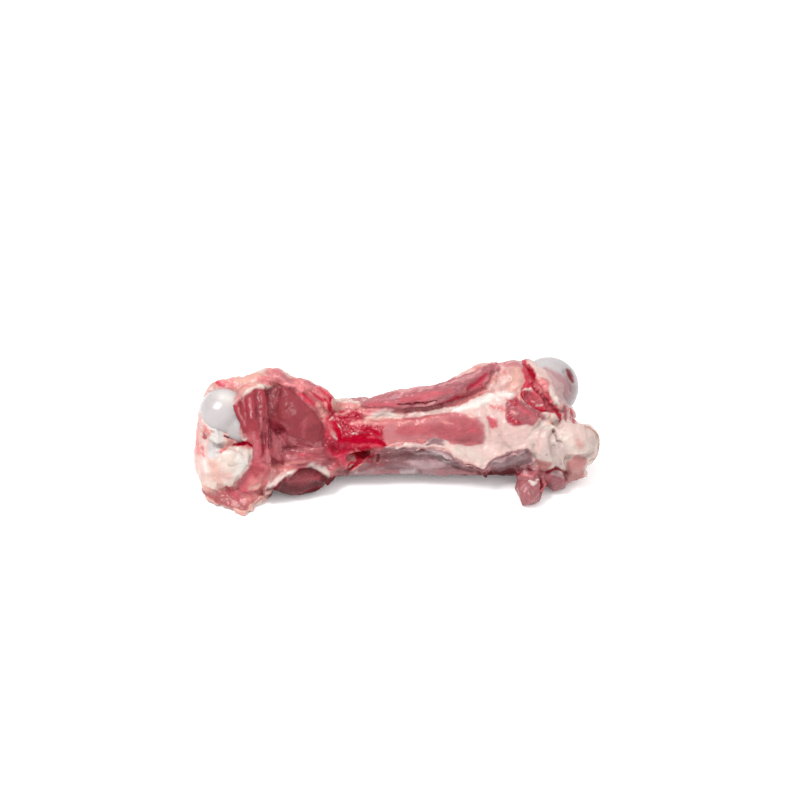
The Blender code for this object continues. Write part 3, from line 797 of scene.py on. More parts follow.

# Finishes as they show in the picture: finish, softness, the angle of the fibres in a few, then a
# closed outline of (across, down) or a line of (across, down, radius), in dots of the 800-dot picture.
# painted highlight
# painted highlight along the blood
# painted highlight along the fold's edge
# painted highlight on the blood
# painted highlight on the tendon
# painted shade along its lower edge
# painted shade along the crease and in the hollow between the lobes
# painted shade along the lower edge
# painted shade and painted sheen on the left lobe: the darker lines are shade, the paler ones glints
# painted shade in a small hollow, over dark blood
# painted shade in the gap between the scraps
# painted shade in the hole, over dark blood
# painted shade in the slit under the knuckle's cartilage
# painted shade under the knob
# painted sheen below the right lobe
# painted sheen on the silver skin
# painted sheen: pale lines along the strip and glints across it
# painted sheen: pale strokes on the right lobe
# the dark muscle under the lobes, its dark partly painted shade
# the white right part of the cream fat, with a painted highlight on it
PATCHES = """
# the shaft
pink 5 0.1: 318,395 345,396 365,405 400,412 440,408 478,400 488,425 484,446 455,446 425,446 385,450
 345,474 318,470
# the two lobes and what lies round them
ham_pink 4 1.5: 244,398 262,388 280,384 300,388 318,402 328,420 332,440 332,462 320,468 290,472 262,470
 250,462 248,446 236,425 231,408
ham 1.6 1: 277,385 290,388 299,394 305,402 313,409 320,418 324,426 325,435 320,441 306,440 297,438
 289,435 283,430 276,424 268,418 270,408 274,395
ham_pink 3: 270,412,1.4 273,406,1.8 277,398,1.2
ham_pink 3: 283,422,1.4 288,428,1.4
ham_red 3: 306,418,1.4 304,428,1.7 302,437,1.4
lobe_red 2 1.5: 244,398 250,392 258,388 266,390 271,396 269,408 266,420 264,432 258,440 250,433 246,424
 240,414 236,405
ham_dark 2.4: 258,394,1.6 259,404,2.4 258,418,2
ham_dark 3: 266,412,1.4 264,426,1.8
ham_light 2: 250,398,0.7 250.5,408,1 252,418,0.8
lobe_red 1.5 1.2: 232,406 237,404 243,404 247,412 248,424 250,434 246,437 240,429 236,420 233,412
ham_light 1.5: 239,409,0.8 241,416,1 245,426,0.8
salmon 1.6: 244,434,1 249,440,1.4 252,446,1
fold 2.5: 252,436,4 255,448,5 257,460,5
fold 2.5: 270,436,4 272,450,5 274,462,5
ham_light 2.4: 261,418,0.8 261.5,426,1 260,434,0.8
ham_light 2.4: 254,432,1 255,446,1.2 253,458,1.4
ham_light 2.4: 267,444,1 269,454,1.3 268,462,1
ham_light 2.4: 276,436,0.8 277,448,1.2 279,460,1
ham_dark 2.4: 264,436,1.6 264,447,2.4 262,457,1.6
crimson 3: 263.5,444,0.8 263,453,1.2
ham_dark 1.6: 270,430,1.4 271,440,1.4 272,448,1
ham_dark 2.4 0.6: 266,417 274,421 284,428 281,434 274,434 269,428
pocket 1.8 0.6: 266,417 273,420.5 283,427 280,431 274,431 270,428
ham_pink 2.5 0: 284,436 298,440 318,444 330,440 333,462 300,464 286,463 278,450
strip_red 1.8: 298,443,1.2 304,444,1.7 312,445,0.8
ham_light 1.5: 285,450,1.6 289,457,2.6 291,465,2.4
ham_light 1.5: 298,449,1.2 296,457,1.6 292,462,1.2
ham_light 1.5: 299,450,0.9 315,449,1.2 330,449,0.8
salmon 1.4: 284,463,1.8 296,463,1.6 310,460,1.4 323,459,1
fold 2: 300,455,1.6 316,455,1.8 328,454,1.5
under 1.6 0.1: 268,494 277,484 284,478 292,473 300,469 308,468 318,471 327,476 340,478 345,480 318,489
 300,497 285,499 270,498
ham_red 4: 290,481,2 304,479,3 318,478,2
dark_red 2.4: 272,496,1.4 290,497,1.6 310,491,1.6 328,484,1.4
salmon 2 0.2: 262,466 272,465 282,464 294,468 296,472 284,476 272,478 266,474
membrane 3 0.3: 262,492 266,483 270,476 279,474 287,472 295,470 292,474 283,479 275,485 267,492
membrane 3 0.3: 306,467 312,463 320,461 325,466 329,473 328,477 322,473 314,469
fold 2 0.9: 235,489 240,479 246,471 252,464 261,463 268,466 270,474 266,483 263,491 250,495 239,494
ham_red 3: 251,468,1.8 257,468,2.8 262,471,2
ham_light 2: 262,464,0.9 267,468,1.2 269,475,1.2 266,483,1
ham_pink 3: 238,487,2 242,482,2.8 247,475,2.4
salmon 3: 252,482,3 258,479,3.4 264,477,3
salmon 2.5: 254,490,2.4 262,485,2.4
# the sheet that hangs over the table
sheet 2 0.3: 203,484 212,490 222,491 230,488 240,494 252,494 265,489 265,495 258,502 250,507 246,513
 238,510 224,508 210,502 203,495
fold 2: 227,486,2 232,492,4 238,499,3
salmon 3: 246,500,2.5 257,496,2.5 263,491,1.5
rim_fat 3: 208,489,2.4 214,493,2.4
peach 1.4: 205,497,1 216,504,1 230,508,1.2 246,512,1.4 251,505,1 262,496,1.2
# the cream fat
cream 2 0.4: 213,455 222,450 233,448 248,449 251,455 250,464 246,471 239,481 231,485 220,488 208,484
 203,475 205,462
peach 3: 211,461,4 214,473,6 220,481,3
white 2.5: 240,456,4 243,465,3.6 238,474,3
cream 1.8: 205,484,1.2 213,487,2 220,488,1.8 229,484,1.4
salmon 1.4: 217,454,1 222,451,1.4 227,447,1
salmon 1.4: 226,446,0.8 234,447,0.8
# the left edge
white_pink 3 1.5: 190,442 193,420 199,404 204,412 208,424 213,432 214,445 212,456 205,462 203,480
 196,470 192,455
salmon 3: 197,420,2 196,440,2.6 199,452,2.4
ligament 2.2 1.5: 209,425 216,428 222,432 223,440 221,448 218,457 211,459 208,450 210,438
fold 1.4: 206,430,1 205.5,435,2 204,438,1.2
salmon 1.4: 202,447,1.2 203,452,1.6 204,456,1.2
tan 1.6: 209,429,1 213,432,1
cream 1.6: 226,441,2 236,442,1.8 246,440,1.6
tan 1.6: 227,439,1.2 232,441,1.4
dark_red 1.4: 225,436,0.7 230,437.5,1.4 236,440,0.9
blood 1.2: 233,446.5,0.9 239,444.5,1.8 245,443.5,2.2 251,447,1.2
# the rim above the lobes
rim_fat 2.5 0.2: 213,384 220,380 235,378 250,374 262,373 272,370 276,380 271,388 258,387 248,390 242,397
 236,401 230,397 222,396 215,391
rim_pink 1.8 0.2: 215,381 222,379 229,381 234,380 238,387 234,389 226,387 219,387
blood_pink 1.6: 217,383,1.4 221,384,2 224,386,1.2
salmon 2: 229,388,2.4 234,394,2.4 239,397,1.6
cream 1.4: 217,390,1.4 221,393,1.6 224,391,1
peach 3: 238,382,3 250,380,3.4 258,376,2
salmon 2: 240,388,1.4 248,386,1.2
rim_pink 1.6 0.1: 256,380 262,376 270,377 275,381 272,386 262,384
cream 2: 257,387,1.2 264,387,1.6 270,389,0.8
rim_pink 2 1.2: 266,374 271,366 278,367 284,376 286,384 279,387 274,384 272,377
peach 1.6: 266,374,1.4 270,369,1.6 274,368,1
rim_pink 2 2.6: 284,375 290,377 303,377 313,382 323,387 330,396 334,405 328,413 322,405 315,398 303,392
 293,387 285,385
salmon 1.6: 286,378,1.6 300,379,2 314,385,1.4
blood_pink 2: 318,388,2 325,394,2.6 330,401,2
blood_pink 1.6: 299,392,0.8 305,395.5,1.3 312,400,1
blood_pink 1.6: 311,391,0.8 318,396,1.3 324,401,1.4
blood 1.6: 324,399,0.6 328,405,1.1 329,411,1.4
blood_pink 1.6: 306,399,0.7 312,403,1.2 318,409,1
salmon 1.5 2.2: 316,402 321,404 325,411 327,419 324,423 320,415 315,408
peach 1.6: 317,404,0.6 320,410,0.7 323,416,0.6
silver 1.5: 329,389,1.4 335,391,2 340,394,1.4
# the torn part between the lobes and the shaft
strip 2: 336,397,2.4 346,398,2.2 358,400,2
blood 1.4: 336,397,0.9 338,396.5,1
rim_fat 1.8 0.1: 330,402 334,398 342,399 352,401 363,403 360,408 350,410 338,411 332,407
cream 1.4: 338,399.5,0.8 350,401.5,1 362,403,1
torn 5 0.6: 328,413 340,410 356,409 367,408 363,416 373,422 386,428 391,440 372,450 350,452 332,462
 324,450 326,430
salmon 1.6: 334,413,1 342,415,1.4 350,412,1.2
salmon 1.8: 352,424,1.6 362,421,2.4 376,424,1.8
salmon 1.6: 385,430,1.8 387,438,2.4 390,444,2.6
crimson 1.6: 339,416,1.2 346,418,1.4 352,416,1 358,414,1
shred 2: 338,424,1.2 340,426,1
shred 2: 352,434,0.8 356,433,1.1 359,437,0.8
blood 1.8: 362,430,1.4 370,430,2.2 378,434,1.8
blood 1.4 1.2: 330,422 334,420.5 337,425 339.5,431 341,436 338,439 335,435 332,428
blood 1.6 0.1: 337,437 350,437 360,434 368,433 374,437 381,440 387,443 387,448 381,446 374,444 364,444
 356,447 346,447 337,443
blood_pink 1.3: 367,438,0.7 370,437,1 374,437,0.8
blood 1.4: 330,398,1 330.5,406,1.4 331.5,411,1
crimson 1.4: 334,412,1.2 330,416,1.3 326,420,1.1
shred 2: 329,421,0.8 332,417.5,1.1
shred 2: 328,424,0.8 330,430,1.2 333,436,1.5 336,439,0.8
strip_red 5 0.3: 335,441 345,443 352,447 350,453 344,459 332,458 326,453 330,446
dark_red 1.3: 338,445,0.8 339,447,0.9
blood 2: 333,452,1.6 340,452,2.4 345,450,1.8
blood_pink 1.3: 352,446,0.8 362,445.5,1.1 372,445,1.2 380,446,1.5 384,449,1
crimson 1.2: 354,448.5,0.8 362,449,1.1 370,448,0.6
fold 2.5: 336,462,4 342,463,4 336,469,4
rim_pink 2: 330,462,1 334,464,1.4
knob_pink 2: 333,473,2 338,470,2.4 342,467,1.6
crimson 1.8 0.6: 344,475 348,466 352,457 358,453 368,452 367,458 362,463 355,468 349,474
dark 1.6 0.2: 349,457 354,453 361,451.5 369.5,451.5 368,455 363,457.5 356,456.5
knob_pink 1.6: 351,460,1.2 354,459.5,1.5
knob_pink 1.8: 352,465,1 350,467,1
salmon 1.2: 370,453,0.9 367,459,0.9 360,465,0.9 351,471,0.9 344,475.5,0.9
# the long strip at the back of the shaft
strip 1.6 0.2: 360,402 372,397 385,393 400,389 415,385 430,382 445,380 460,376 475,370 488,365 497,364
 501,368 493,375 487,384 479,391 467,396 455,401 444,406 430,409 412,411 395,411 385,409 372,409 362,408
strip_light 1.5: 364,400,1.1 380,395,1.3 400,390,1.4 420,386,1.2
strip_light 1.5: 401,394,1.2 404,389,1.8 411,389,1.6
strip_light 1.4: 418,393,1 423,389,1.5 433,387,1.2
strip_light 1.4: 440,385,0.8 452,382,1 464,378,0.8
fold 3: 368,405,1.6 384,405,2 400,404,1.6
fold 3: 402,400,2.6 418,398,2.8 436,394,2 450,391,1.6
strip_light 3: 400,391,1 416,389,1.6 436,385,1
strip_light 3: 456,381,1 468,378,1.8 480,371,1.2
dark_red 1.6: 398,405,0.4 416,403.5,0.9 428,402,0.8 436,400.5,0.4
strip_light 1.4: 414,407,0.8 424,405.5,1.2 435,403,0.7
strip_red 2: 438,405,1 450,401,1.5 462,396.5,1.5 474,390,1.5 482,385,1.2
strip_red 2: 468,389,1.6 475,385,2.4 481,380,2.8 485,375,1.8
rim_pink 1.8 0.1: 360,407 372,408 388,409 380,413 366,414 357,412
# tendon and the pale band
tendon 4 0.1: 364,420 372,415 384,412.5 395,413 405,416 400,419 390,418 380,419 370,420
white 4: 375,414,2 384,413,2.4 392,414,2
peach 2: 366,418,1 376,418.5,1.2 388,418,1
white_pink 2 0.2: 404,416 415,412 430,410 445,408 458,406 470,401 480,396 492,388 502,391 507,399
 496,408 480,412 470,415 460,413 450,412 440,414 425,416 410,419
white 1.8: 452,409,1.2 466,407,2.4 480,403,3.4 492,396,4 500,393,3
salmon 1.8: 458,404,1.2 470,399,1.8 482,392,1.6 487,386,1.2
# pale all round the oval muscle's end
hip_grey 4 0.1: 460,410 484,406 498,398 508,402 508,424 534,427 533,447 515,448 495,446 477,450 484,441
 486,431 479,420 467,414
# the oval muscle
speckle 6 0.1: 386,424 400,420 420,418 440,415 455,413 465,414 474,417 482,424 485,433 483,441 477,446
 464,447 450,445 430,442 410,442 392,442 384,436
oval 9 0.1: 396,428 416,425 438,423 452,417 468,417 478,424 483,433 479,442 464,444 448,441 424,438
 400,437
oval_red 8 0.1: 444,427 454,420 466,419 475,426 479,433 476,440 466,442 452,439
oval_red 3: 404,431,2 411,431,3.4 418,431,2
oval_red 2: 425,431,1.6 430,432,1.6
fold 2.5: 469,430,2 476,431,1.6
salmon 2: 390,440,1.2 410,441,1.2 426,440,1
salmon 2.4: 374,424,2 388,421,2.4 402,420,1.6
salmon 4: 394,425,1.4 412,421,1.8 430,419,1.6
speckle 3: 392,437,2 412,437,1.6 436,436,2
salmon 1.5: 436,417,1.2 444,421,1.4 452,424,1
# the lower muscle with its silver skin
silver 2 0.05: 348,476 358,467 368,459 376,453 390,448 410,447 430,448 450,452 458,460 470,465 484,468
 492,460 502,454 516,451 531,449 534,462 522,470 500,475 480,478 440,480 400,479 370,479
silver_dark 3 0.1: 378,455 392,450 408,449 414,456 405,462 390,465 380,464
silver_dark 2.5: 384,466,2 400,470,3 420,472,2
silver_light 3: 412,463,2.5 428,465,3.5 444,462,2.8
silver_light 1.5: 418,453,0.9 436,454,1.2 452,458,1
silver_light 1.8: 357,472,1.8 366,468,2 374,469,1.4
silver_light 2.4: 494,466,1.6 508,463,2.4 524,458,2
silver_light 1.4: 500,470,0.8 514,468,0.9 526,465,0.6
scrap 3: 378,473,1.4 392,473,1.8 408,475,1.2
scrap 4: 440,474,2 470,473,3 496,472,2
crimson 3: 366,460,1.2 371,462,1.4 376,463,0.8
ham_red 3: 376,463,1 383,465,1.2
dark 1.6: 377.8,455.5,0.8 377.8,461,2
dark_red 1.8: 380,478,1 430,479,1 470,478,1.2 500,477,1.2 526,471,1.2
# the flap of fat
white_pink 1.4 0.1: 385,446 398,442 412,443 424,444 428,440 436,438 448,441 452,445 470,446 484,443
 500,440 520,444 528,448 515,450.5 500,454 492,460 485,469 479,468 470,463 462,461 455,456 450,450
 440,447 425,447 405,447 390,450
silver 1.3: 426,445,0.9 434,443,1.8 443,444,1.2
cream 2.5: 456,451,2.5 468,453,3.4 480,460,3
salmon 2: 392,445,1 404,444,1.2
# the hip's fat
hip_fat 3 0.4: 486,392 491,382 497,374 505,368 514,363 523,363 526,374 525,384 522,392 512,397 500,398
peach 3: 517,369,2.4 516,378,3 512,388,2.4
salmon 1.5: 503,372,1.2 508,376,1.2
white_pink 3: 494,388,2.4 502,384,2.6 509,378,2
strip_light 1.8 0.3: 496,365 504,362 512,357 521,356 526,360 524,365 514,365 504,367
strip_red 1.2: 494,364,0.6 500,363,1.1 508,361,0.7
white_pink 3: 494,446,2 510,441,3 526,443,3
white_pink 3: 486,416,2 488,430,2 487,442,2
salmon 2.5: 492,406,1.6 502,408,2.4 508,412,2.4
meat 3 0.2: 506,404 514,398 522,400 530,407 540,412 543,418 541,424 528,425 514,425 506,420
torn 2.4: 511,402,1.6 515,404,2.4 518,400,1.4
torn 2.4: 508,414,2 512,420,3 520,422,2
fold 2.4: 518,407,1.4 526,412,1.8 534,417,1.4
salmon 1.4: 512,411,1.2 517,414,1
fold 1.5: 489,418,1.6 491,422,2.4 493,426,1.8
blood_pink 1.8: 489,419,0.7 490.5,422.5,1 492,426,0.6
# the wedge between the fat and the ball
white_pink 2: 530,362,2.4 535,370,2.4 541,377,2.4 548,383,2.4
blood_pink 2 0.8: 523,359 528,365 534,375 540,385 547,392 554,401 560,410 562,420 558,424 555,414
 548,412 538,409 530,404 523,397 521,389 525,380 523,370
fold 2: 530,392,2 536,398,2.6 544,404,2.4 552,409,1.4
meat 1.6: 532,385,1.6 538,392,1.8
blood 1.4: 522,389,1 523.5,396,1.5 529,402,1.5 537,407,1.3 546,411,1
crimson 1.8: 529,384,0.6 534,390,0.8 541,397,0.9 550,405,0.9 558,414,0.8
fold 2: 530,380,2 538,390,2.4 547,400,2.2 555,408,1.6
blood 1.6: 529,367,2.2 531,373,2.6 533,380,1.6
cream 1.4: 525,390,1.4 529,391,1.7
cream 1.2: 538,404,0.9 541,405,0.9
rim_pink 1.4 0.8: 536,381 541,378 546,381 549,387 547,392 541,390 537,385
salmon 1.3: 538,380,1 543,379,1.2 547,384,1
ball_shade 2.4 0.1: 543,362 554,364 566,376 574,396 572,409 566,409 561,401 557,393 553,386 549,378
 545,370
white_pink 1.8 0.1: 533,362 541,362 545,371 549,379 545,380 538,374
cream 1.6: 549,388,1.6 552,395,2.2 556,402,2.2
white 1.2: 556,397,0.9 558.5,403,1.2
# the knob
knob 2 0.5: 531,428 538,420 543,413 550,412 557,418 564,423 575,424 589,426 597,436 600,444 598,453
 591,462 584,470 583,478 568,482 566,470 560,466 550,467 540,471 534,462 531,450 528,440
white_pink 4: 560,429,4 572,430,4.5 583,435,4
cream 4: 566,436,4 576,452,5 588,450,3
hip_grey 3: 540,436,5 538,448,4
knob_shade 4: 555,449,3 566,453,4
knob_pink 4 0.2: 534,457 543,460 553,464 547,471 538,471 535,464
knob_pink 3.5 1.4: 567,463 572,458 580,456 587,458 585,467 583,479 568,482 566,473
hip_fat 3: 578,440,2 581,446,2.6
dark_red 1.4: 553.6,430.3,1.1
silver 1.3: 555,434,0.7 557.5,439,0.8 562,443,0.6
silver 1.3: 547,455,0.8
tan 1.6: 584,427,0.8 591,429.5,1 597.5,437,1.1 599.8,446,1.1 596.5,456,1 589,462,0.8
cream 3: 541,425,2 550,427,2.6
white_pink 2: 546,423,1.6
white_pink 2: 542,415,1 547,414,1.2 552,419,1.4 559,424,1.4
crimson 1.4: 555,409,1 559,415,1.5 560,422,1.2
meat 1.5: 564,408,1.8 565,415,2 566,421,1.4
fold 1.5: 569,410,1.6 572,416,1.8 575,423,1.3
dark_red 1.6: 528,466,1 540,472,1.5 550,472,1.5 558,469,1.6 566,475,1.4
# the scraps under the knob
scrap 1.8 1.3: 514,481 521,472 528,466 537,468 546,474 544,484 541,497 538,507 530,509 522,504 517,492
ham_light 1.6: 522,474,1 530,476,1 537,474,0.8
membrane 1.3: 529,481,1.3 533,484,1.8 536,483,1
membrane 1.3: 536,481,0.8 540,480,0.8
scrap_dark 2: 531,490,2 535,493,2.2
scrap_dark 1.8 0.5: 543,495 546,482 550,474 559,474 567,480 568,485 558,491 550,495
fold 1.6: 544,493,0.7 547,482,0.8 551,475,0.8
silver_light 1.4: 552,474,1 558,475,1.3 563,479,1
dark_red 1.4: 541,477,1.2 543,486,1.5 542,494,1
# last touches of shade and light
ham_light 3: 268,372,2.6 278,374,3.2 287,380,2.4
salmon 2.5: 338,404,1.6 348,405,2.4 356,406,1.6
white 3: 498,395,2 506,395,2.8 513,395,2
ham_red 3: 527,393,1.8 533,399,2.4 538,404,1.6
salmon 2: 236,399,1.4 241,401,1.4
ham_pink 3: 269,390,1.6 271,400,2 270,411,1.8
ham_dark 3: 263,425,1.6 268,436,2 269,446,1.6
ham_dark 2.4: 298,443,1 304,444,2 312,445,1
blood_pink 4: 326,418,1.4 329,426,2.4 328,436,2.4
ham_red 4: 316,450,2 324,453,2.6 332,459,2.6 329,466,2.6
strip_red 3: 334,452,2 341,456,2.8 344,462,2
ham_red 3: 338,464,2.6 344,468,2
crimson 2.5: 346,449,1.8 353,451,1.6
silver_red 3: 374,451,2.6 388,452,3.4 384,461,3.4 370,466,2.8 359,470,2
undercut 1.8: 334,477,1.6 350,479.5,2 372,479,1.4 400,479.5,1.4
undercut 1.6: 430,479,1.6 450,478.5,2 475,477.5,2.6 500,476,3.2 514,473,2
undercut 2.4: 268,496,1.6 284,499,2 300,497,1.8 318,489,1.6
under 2.4: 518,470,1.4 525,469,2 532,470,1.2
silver 2.4: 429,441,1.4 437,441,1.8
silver_pale 3: 432,452,2 441,456,2.8 449,461,2
silver_pale 4: 402,472,1.6 414,472,2
white 3: 205,462,2.4 207,470,2.4
salmon 3: 205,426,2 206,434,2.4
white 3: 213,439,2.4 221,441,2
salmon 3: 228,442,1.6 236,441,1.6
base 3: 220,474,2.2 228,477,2.4
ham_red 3: 252,470,2.4 257,475,2.4
salmon 3: 221,489,2.4 228,491,1.6
peach 3: 251,489,2.2 258,486,2.2
rim_fat 3: 274,475,2.2 285,473,2.2
oval_red 5: 398,432,2 414,432,2.4 430,434,1.8
ham_light 3: 504,364,1.6 513,364,2.4 521,365,1.6
ham_light 3: 531,418,1.6 537,420,1.6
fold 3: 487,418,1.2 491,422,1.8 494,427,1.4
ham_light 3: 460,396,1.4 470,392,1.6 480,388,1.4
strip 3: 284,377,2 291,380,2
oval 3: 404,418,1.2 416,418,1.8 428,418,1.2
white 3: 546,418,1.2 553,421,1.6 552,427,1.6
crimson 4: 333,447,1.6 338,450,1.6
ham_pink 3: 270,455,1.6 271,462,1.6
ham_red 3: 368,456,1.4 364,462,1.2
knob_pink 3: 277,474,1.6 271,481,1.6
sheet 3: 228,497,2 236,500,2
salmon 3: 237,399,2 241,397,2
strip 3: 305,383,1.6 314,386,1.6
meat 2.5: 532,406,2 538,413,2.4 543,418,2
fold 2: 489,417,1.6 494,421,2.8 497,426,2
base 3: 205,430,2 207,435,2
silver_dark 2.5: 434,440,1.2 440,440,1.2
crimson 3: 331,447,2 337,449,2.2
ham_pink 3: 308,459,1.8 318,461,2.2 328,462,1.8
dark_red 3: 364,456,1.4 372,456,1.8
rim_pink 3: 541,391,1.6 544,394,1.4
sheet 3: 226,502,2 233,505,2
under 3: 478,473,1.6 492,473,2.2 506,471,2.4 518,466,1.8
silver_red 3: 338,472,2 346,474,2
ham_red 2.5: 364,448,1.6 369,448,1.6
dark_red 2: 364,457,2 372,457,2.4
peach 2.5: 469,414,1.6 473,417,1.4
peach 3: 549,416,1.6 551,424,1.8
salmon 2.5: 205,431,2 207,434,2
silver 2: 435,440,1.6 441,440,1.6
dark_red 3: 332,447,1.4 336,449,1.6
ham_light 3: 270,455,1.8 271,460,1.6
ham_light 3: 317,464,1.8 326,464,2
knob_pink 3: 277,471,1.8 270,480,1.8
scrap 3: 565,479,1.8 567,482,1.4
peach 3: 205,487,2 208,490,1.6
undercut 3: 268,489,1.6 274,488,1.6
silver_light 3: 496,462,1.8 510,459,2.2 524,455,1.8
strip_light 2.5: 236,400,2 240,398,2.2
ham_light 3: 458,393,1.6 466,391,1.6
ham_dark 2.5: 526,398,1.8 527,403,1.8
blood 2.5: 363,448,1.6 369,447,1.6
ham_pink 3: 324,464,1.8 330,465,1.8
silver_red 3: 341,471,2.4 350,472,1.8
undercut 3: 488,474,1.8 500,473.5,2.2 512,471.5,1.8
silver_dark 3: 386,449,1.6 394,448,1.6
silver_dark 4: 402,464,1.4 409,465,1.4
sheet 2.5: 276,473,1.6 281,471,1.4
salmon 2: 205,430,2.2 207,435,2.2
"""

# Lines of the picture along which the skin is sunk, or raised where the depth is negative:
# depth in mm, half width in dots, stops (across, down).
CREASES = """
1.1 3.6: 266,419 271,425 277,430 283,432
0.7 2.6: 297,443 305,442 314,444
0.7 2.6: 264,434 264,448 262,458
0.6 2: 270,430 271,445 273,458
0.25 3: 266,404 265,414 264,426
-0.7 2.6: 259,432 258,446 256,458
-0.6 2.4: 267,440 268,452 270,462
1.1 2.6: 231,407 234,416 240,426 246,436 250,446 251,458 246,468 240,476 235,484
1.3 2.2: 226,436 232,438 240,440
0.8 2.2: 234,446 243,444 250,446
-0.7 3: 236,402 244,395 252,389 262,386 272,388
1 2.6: 276,386 284,387 292,390 301,397 310,405 319,415 325,426 327,437 324,445
-0.8 2.8: 286,380 300,381 314,387 326,397
-0.6 2.4: 317,403 323,412 327,420
1.8 4.4: 351,457 359,455 367,454
1.6 3: 346,473 354,466 363,459
-1 1.8: 371,453 366,459 358,465 350,471
1.2 2.6: 377,456 378,461
1 2.4: 362,409 380,408 395,409 412,410 430,408 445,405 452,403
0.5 2.4: 452,403 462,399.5 470,397 482,391 488,384
0.9 1.8: 398,405 410,404 425,402.5 436,401
-0.6 2.4: 366,416 384,413 402,416
0.3 3: 440,414 455,412 468,413 478,418 485,427 486,437 481,447
0.7 2: 386,451 400,450 420,449 440,449 450,453 458,461 470,466 484,470 493,462 504,456.5 526,452
-0.4 2.4: 388,445 412,445 440,443 456,451 470,459 483,465 494,459
0.6 2.2: 380,470 400,468 430,470 455,466
0.6 2: 440,460 462,468 480,473
0.5 2: 500,467 515,465 530,460
1.4 2.6: 522,389 524,397 531,404 541,410 552,413
0.45 2.6: 527,362 531,372 537,382 545,392 553,402 559,412 560,421
-0.8 3: 530,389 538,397 546,405
-1 3.2: 532,383 538,389 545,396 551,403
-0.8 2.6: 536,380 542,379 547,385 546,391
1 2: 553.6,430 554.2,432
0.8 1.8: 555,433 558,440 563,445
0.9 2.6: 533,446 534,456 537,466
0.9 2.6: 566,458 565,468 567,478
0.8 2.6: 566,458 575,456 585,456 593,452
0.7 2.6: 553,446 553,458 557,468
-0.7 2.6: 540,415 548,413 556,419 566,424 580,426
1.8 2.6: 541,476 543,485 542,495
0.8 2.2: 517,480 526,478 537,478
0.6 2.2: 531,488 535,496 540,500
0.8 2.4: 236,488 244,494 256,492 264,486
0.8 2.2: 226,486 230,494 238,500
0.8 2.4: 264,463 271,468 272,476 268,485 263,492
0.7 2.2: 208,488 216,491 226,489
-0.5 2.6: 215,470 224,476 236,474
0.5 2.4: 222,460 230,466 240,464
0.6 2.4: 213,456 222,452 232,449
0.9 2.2: 205,430 205,438
-0.6 2.6: 216,430 218,442 215,455
0.7 2.4: 228,381 234,388 238,396
-0.7 2.6: 257,380 265,378 273,382
0.6 2.2: 283,448 300,449 320,447
-0.5 2.2: 286,455 300,453 322,452
0.5 2: 290,462 306,458 326,457
-0.6 2.2: 342,420 352,428 364,432
0.7 2.2: 346,426 356,434 370,438
-0.7 2.2: 348,449 364,447 382,446
0.8 2.4: 334,416 342,424 345,434
"""

# The same as the finishes of the picture, for the bare bone.
# painted highlight on the knuckle's cartilage
# painted light: the ligament's white on the bone in the crevice under the knuckle, over its shade
# painted shade at the right and lower edges of the round head
# painted shade on the bone where it shows in the holes
BONE_PATCHES = """
cartilage_pink 6 0: 548,372 560,374 568,380 574,390 571,400 561,401 553,392
cartilage_pink 3: 545,369,2 555,375,2.4 562,381,2
cartilage_grey 5: 572,362,3 577,376,3.5 576,392,3.5 570,402,3
cartilage_grey 3: 552,392,2.5 558,400,2.5
dark_red 1.6: 567,369.5,1.3 569.6,375.5,2.4 572.5,381.5,1.6
silver_dark 1.6: 569.5,370,0.8 572.5,376,0.8
white 4: 222,397,3 228,399,4 233,402,3
dark 3: 340,466 346,454 356,448 374,448 382,452 384,466 370,468 356,470
dark 3: 552,430,3 556,438,3
white 3: 208,438,6 212,450,6
"""


def linear(rgb):
    c = np.array(rgb, float) / 255.0
    return np.where(c <= 0.04045, c / 12.92, ((c + 0.055) / 1.055) ** 2.4)


# The paint of each finish: linear colour, fibre, lumps, blood and rise.
PAINTS = {
    name: np.concatenate([linear(colour) * PAINT_SHARE, rest])
    for name, *rest, (colour,) in rows_of(FINISHES)
}


def smooth_step(value):
    value = np.clip(value, 0, 1)
    return value * value * (3 - 2 * value)


def lay(values, where, name, weight):
    """Blends a finish over what lies there, by its weight at each point."""
    values[where] += (PAINTS[name] - values[where]) * weight[:, None]


def lay_zones(mesh, points, values, zones):
    """Broad finishes by place in space, thin ones laid on the skin."""
    skin = skin_tree(mesh)
    ragged = noise_of(points, RAGGED_SLOW) * RAGGED_SLOW_SHARE
    ragged += noise_of(points, RAGGED_FAST, 5.0) * RAGGED_FAST_SHARE
    strayed = points + drift(points, ZONE_STRAY_SIZE, (21.0, 27.0, 33.0)) * ZONE_STRAY
    for name, soft, stops in zones:
        path = smooth_path(stops, LINE_STEPS)
        if max(stop[-1] for stop in stops) < THIN:
            path = [(*skin.find_nearest(Vector(stop[:3]))[0], stop[3]) for stop in path]
        near = near_box(points, path, ZONE_MARGIN)
        gap, _ = path_gap(strayed[near], path)
        lay(values, near, name, smooth_step((1 - gap + ragged[near]) / soft + 0.5))


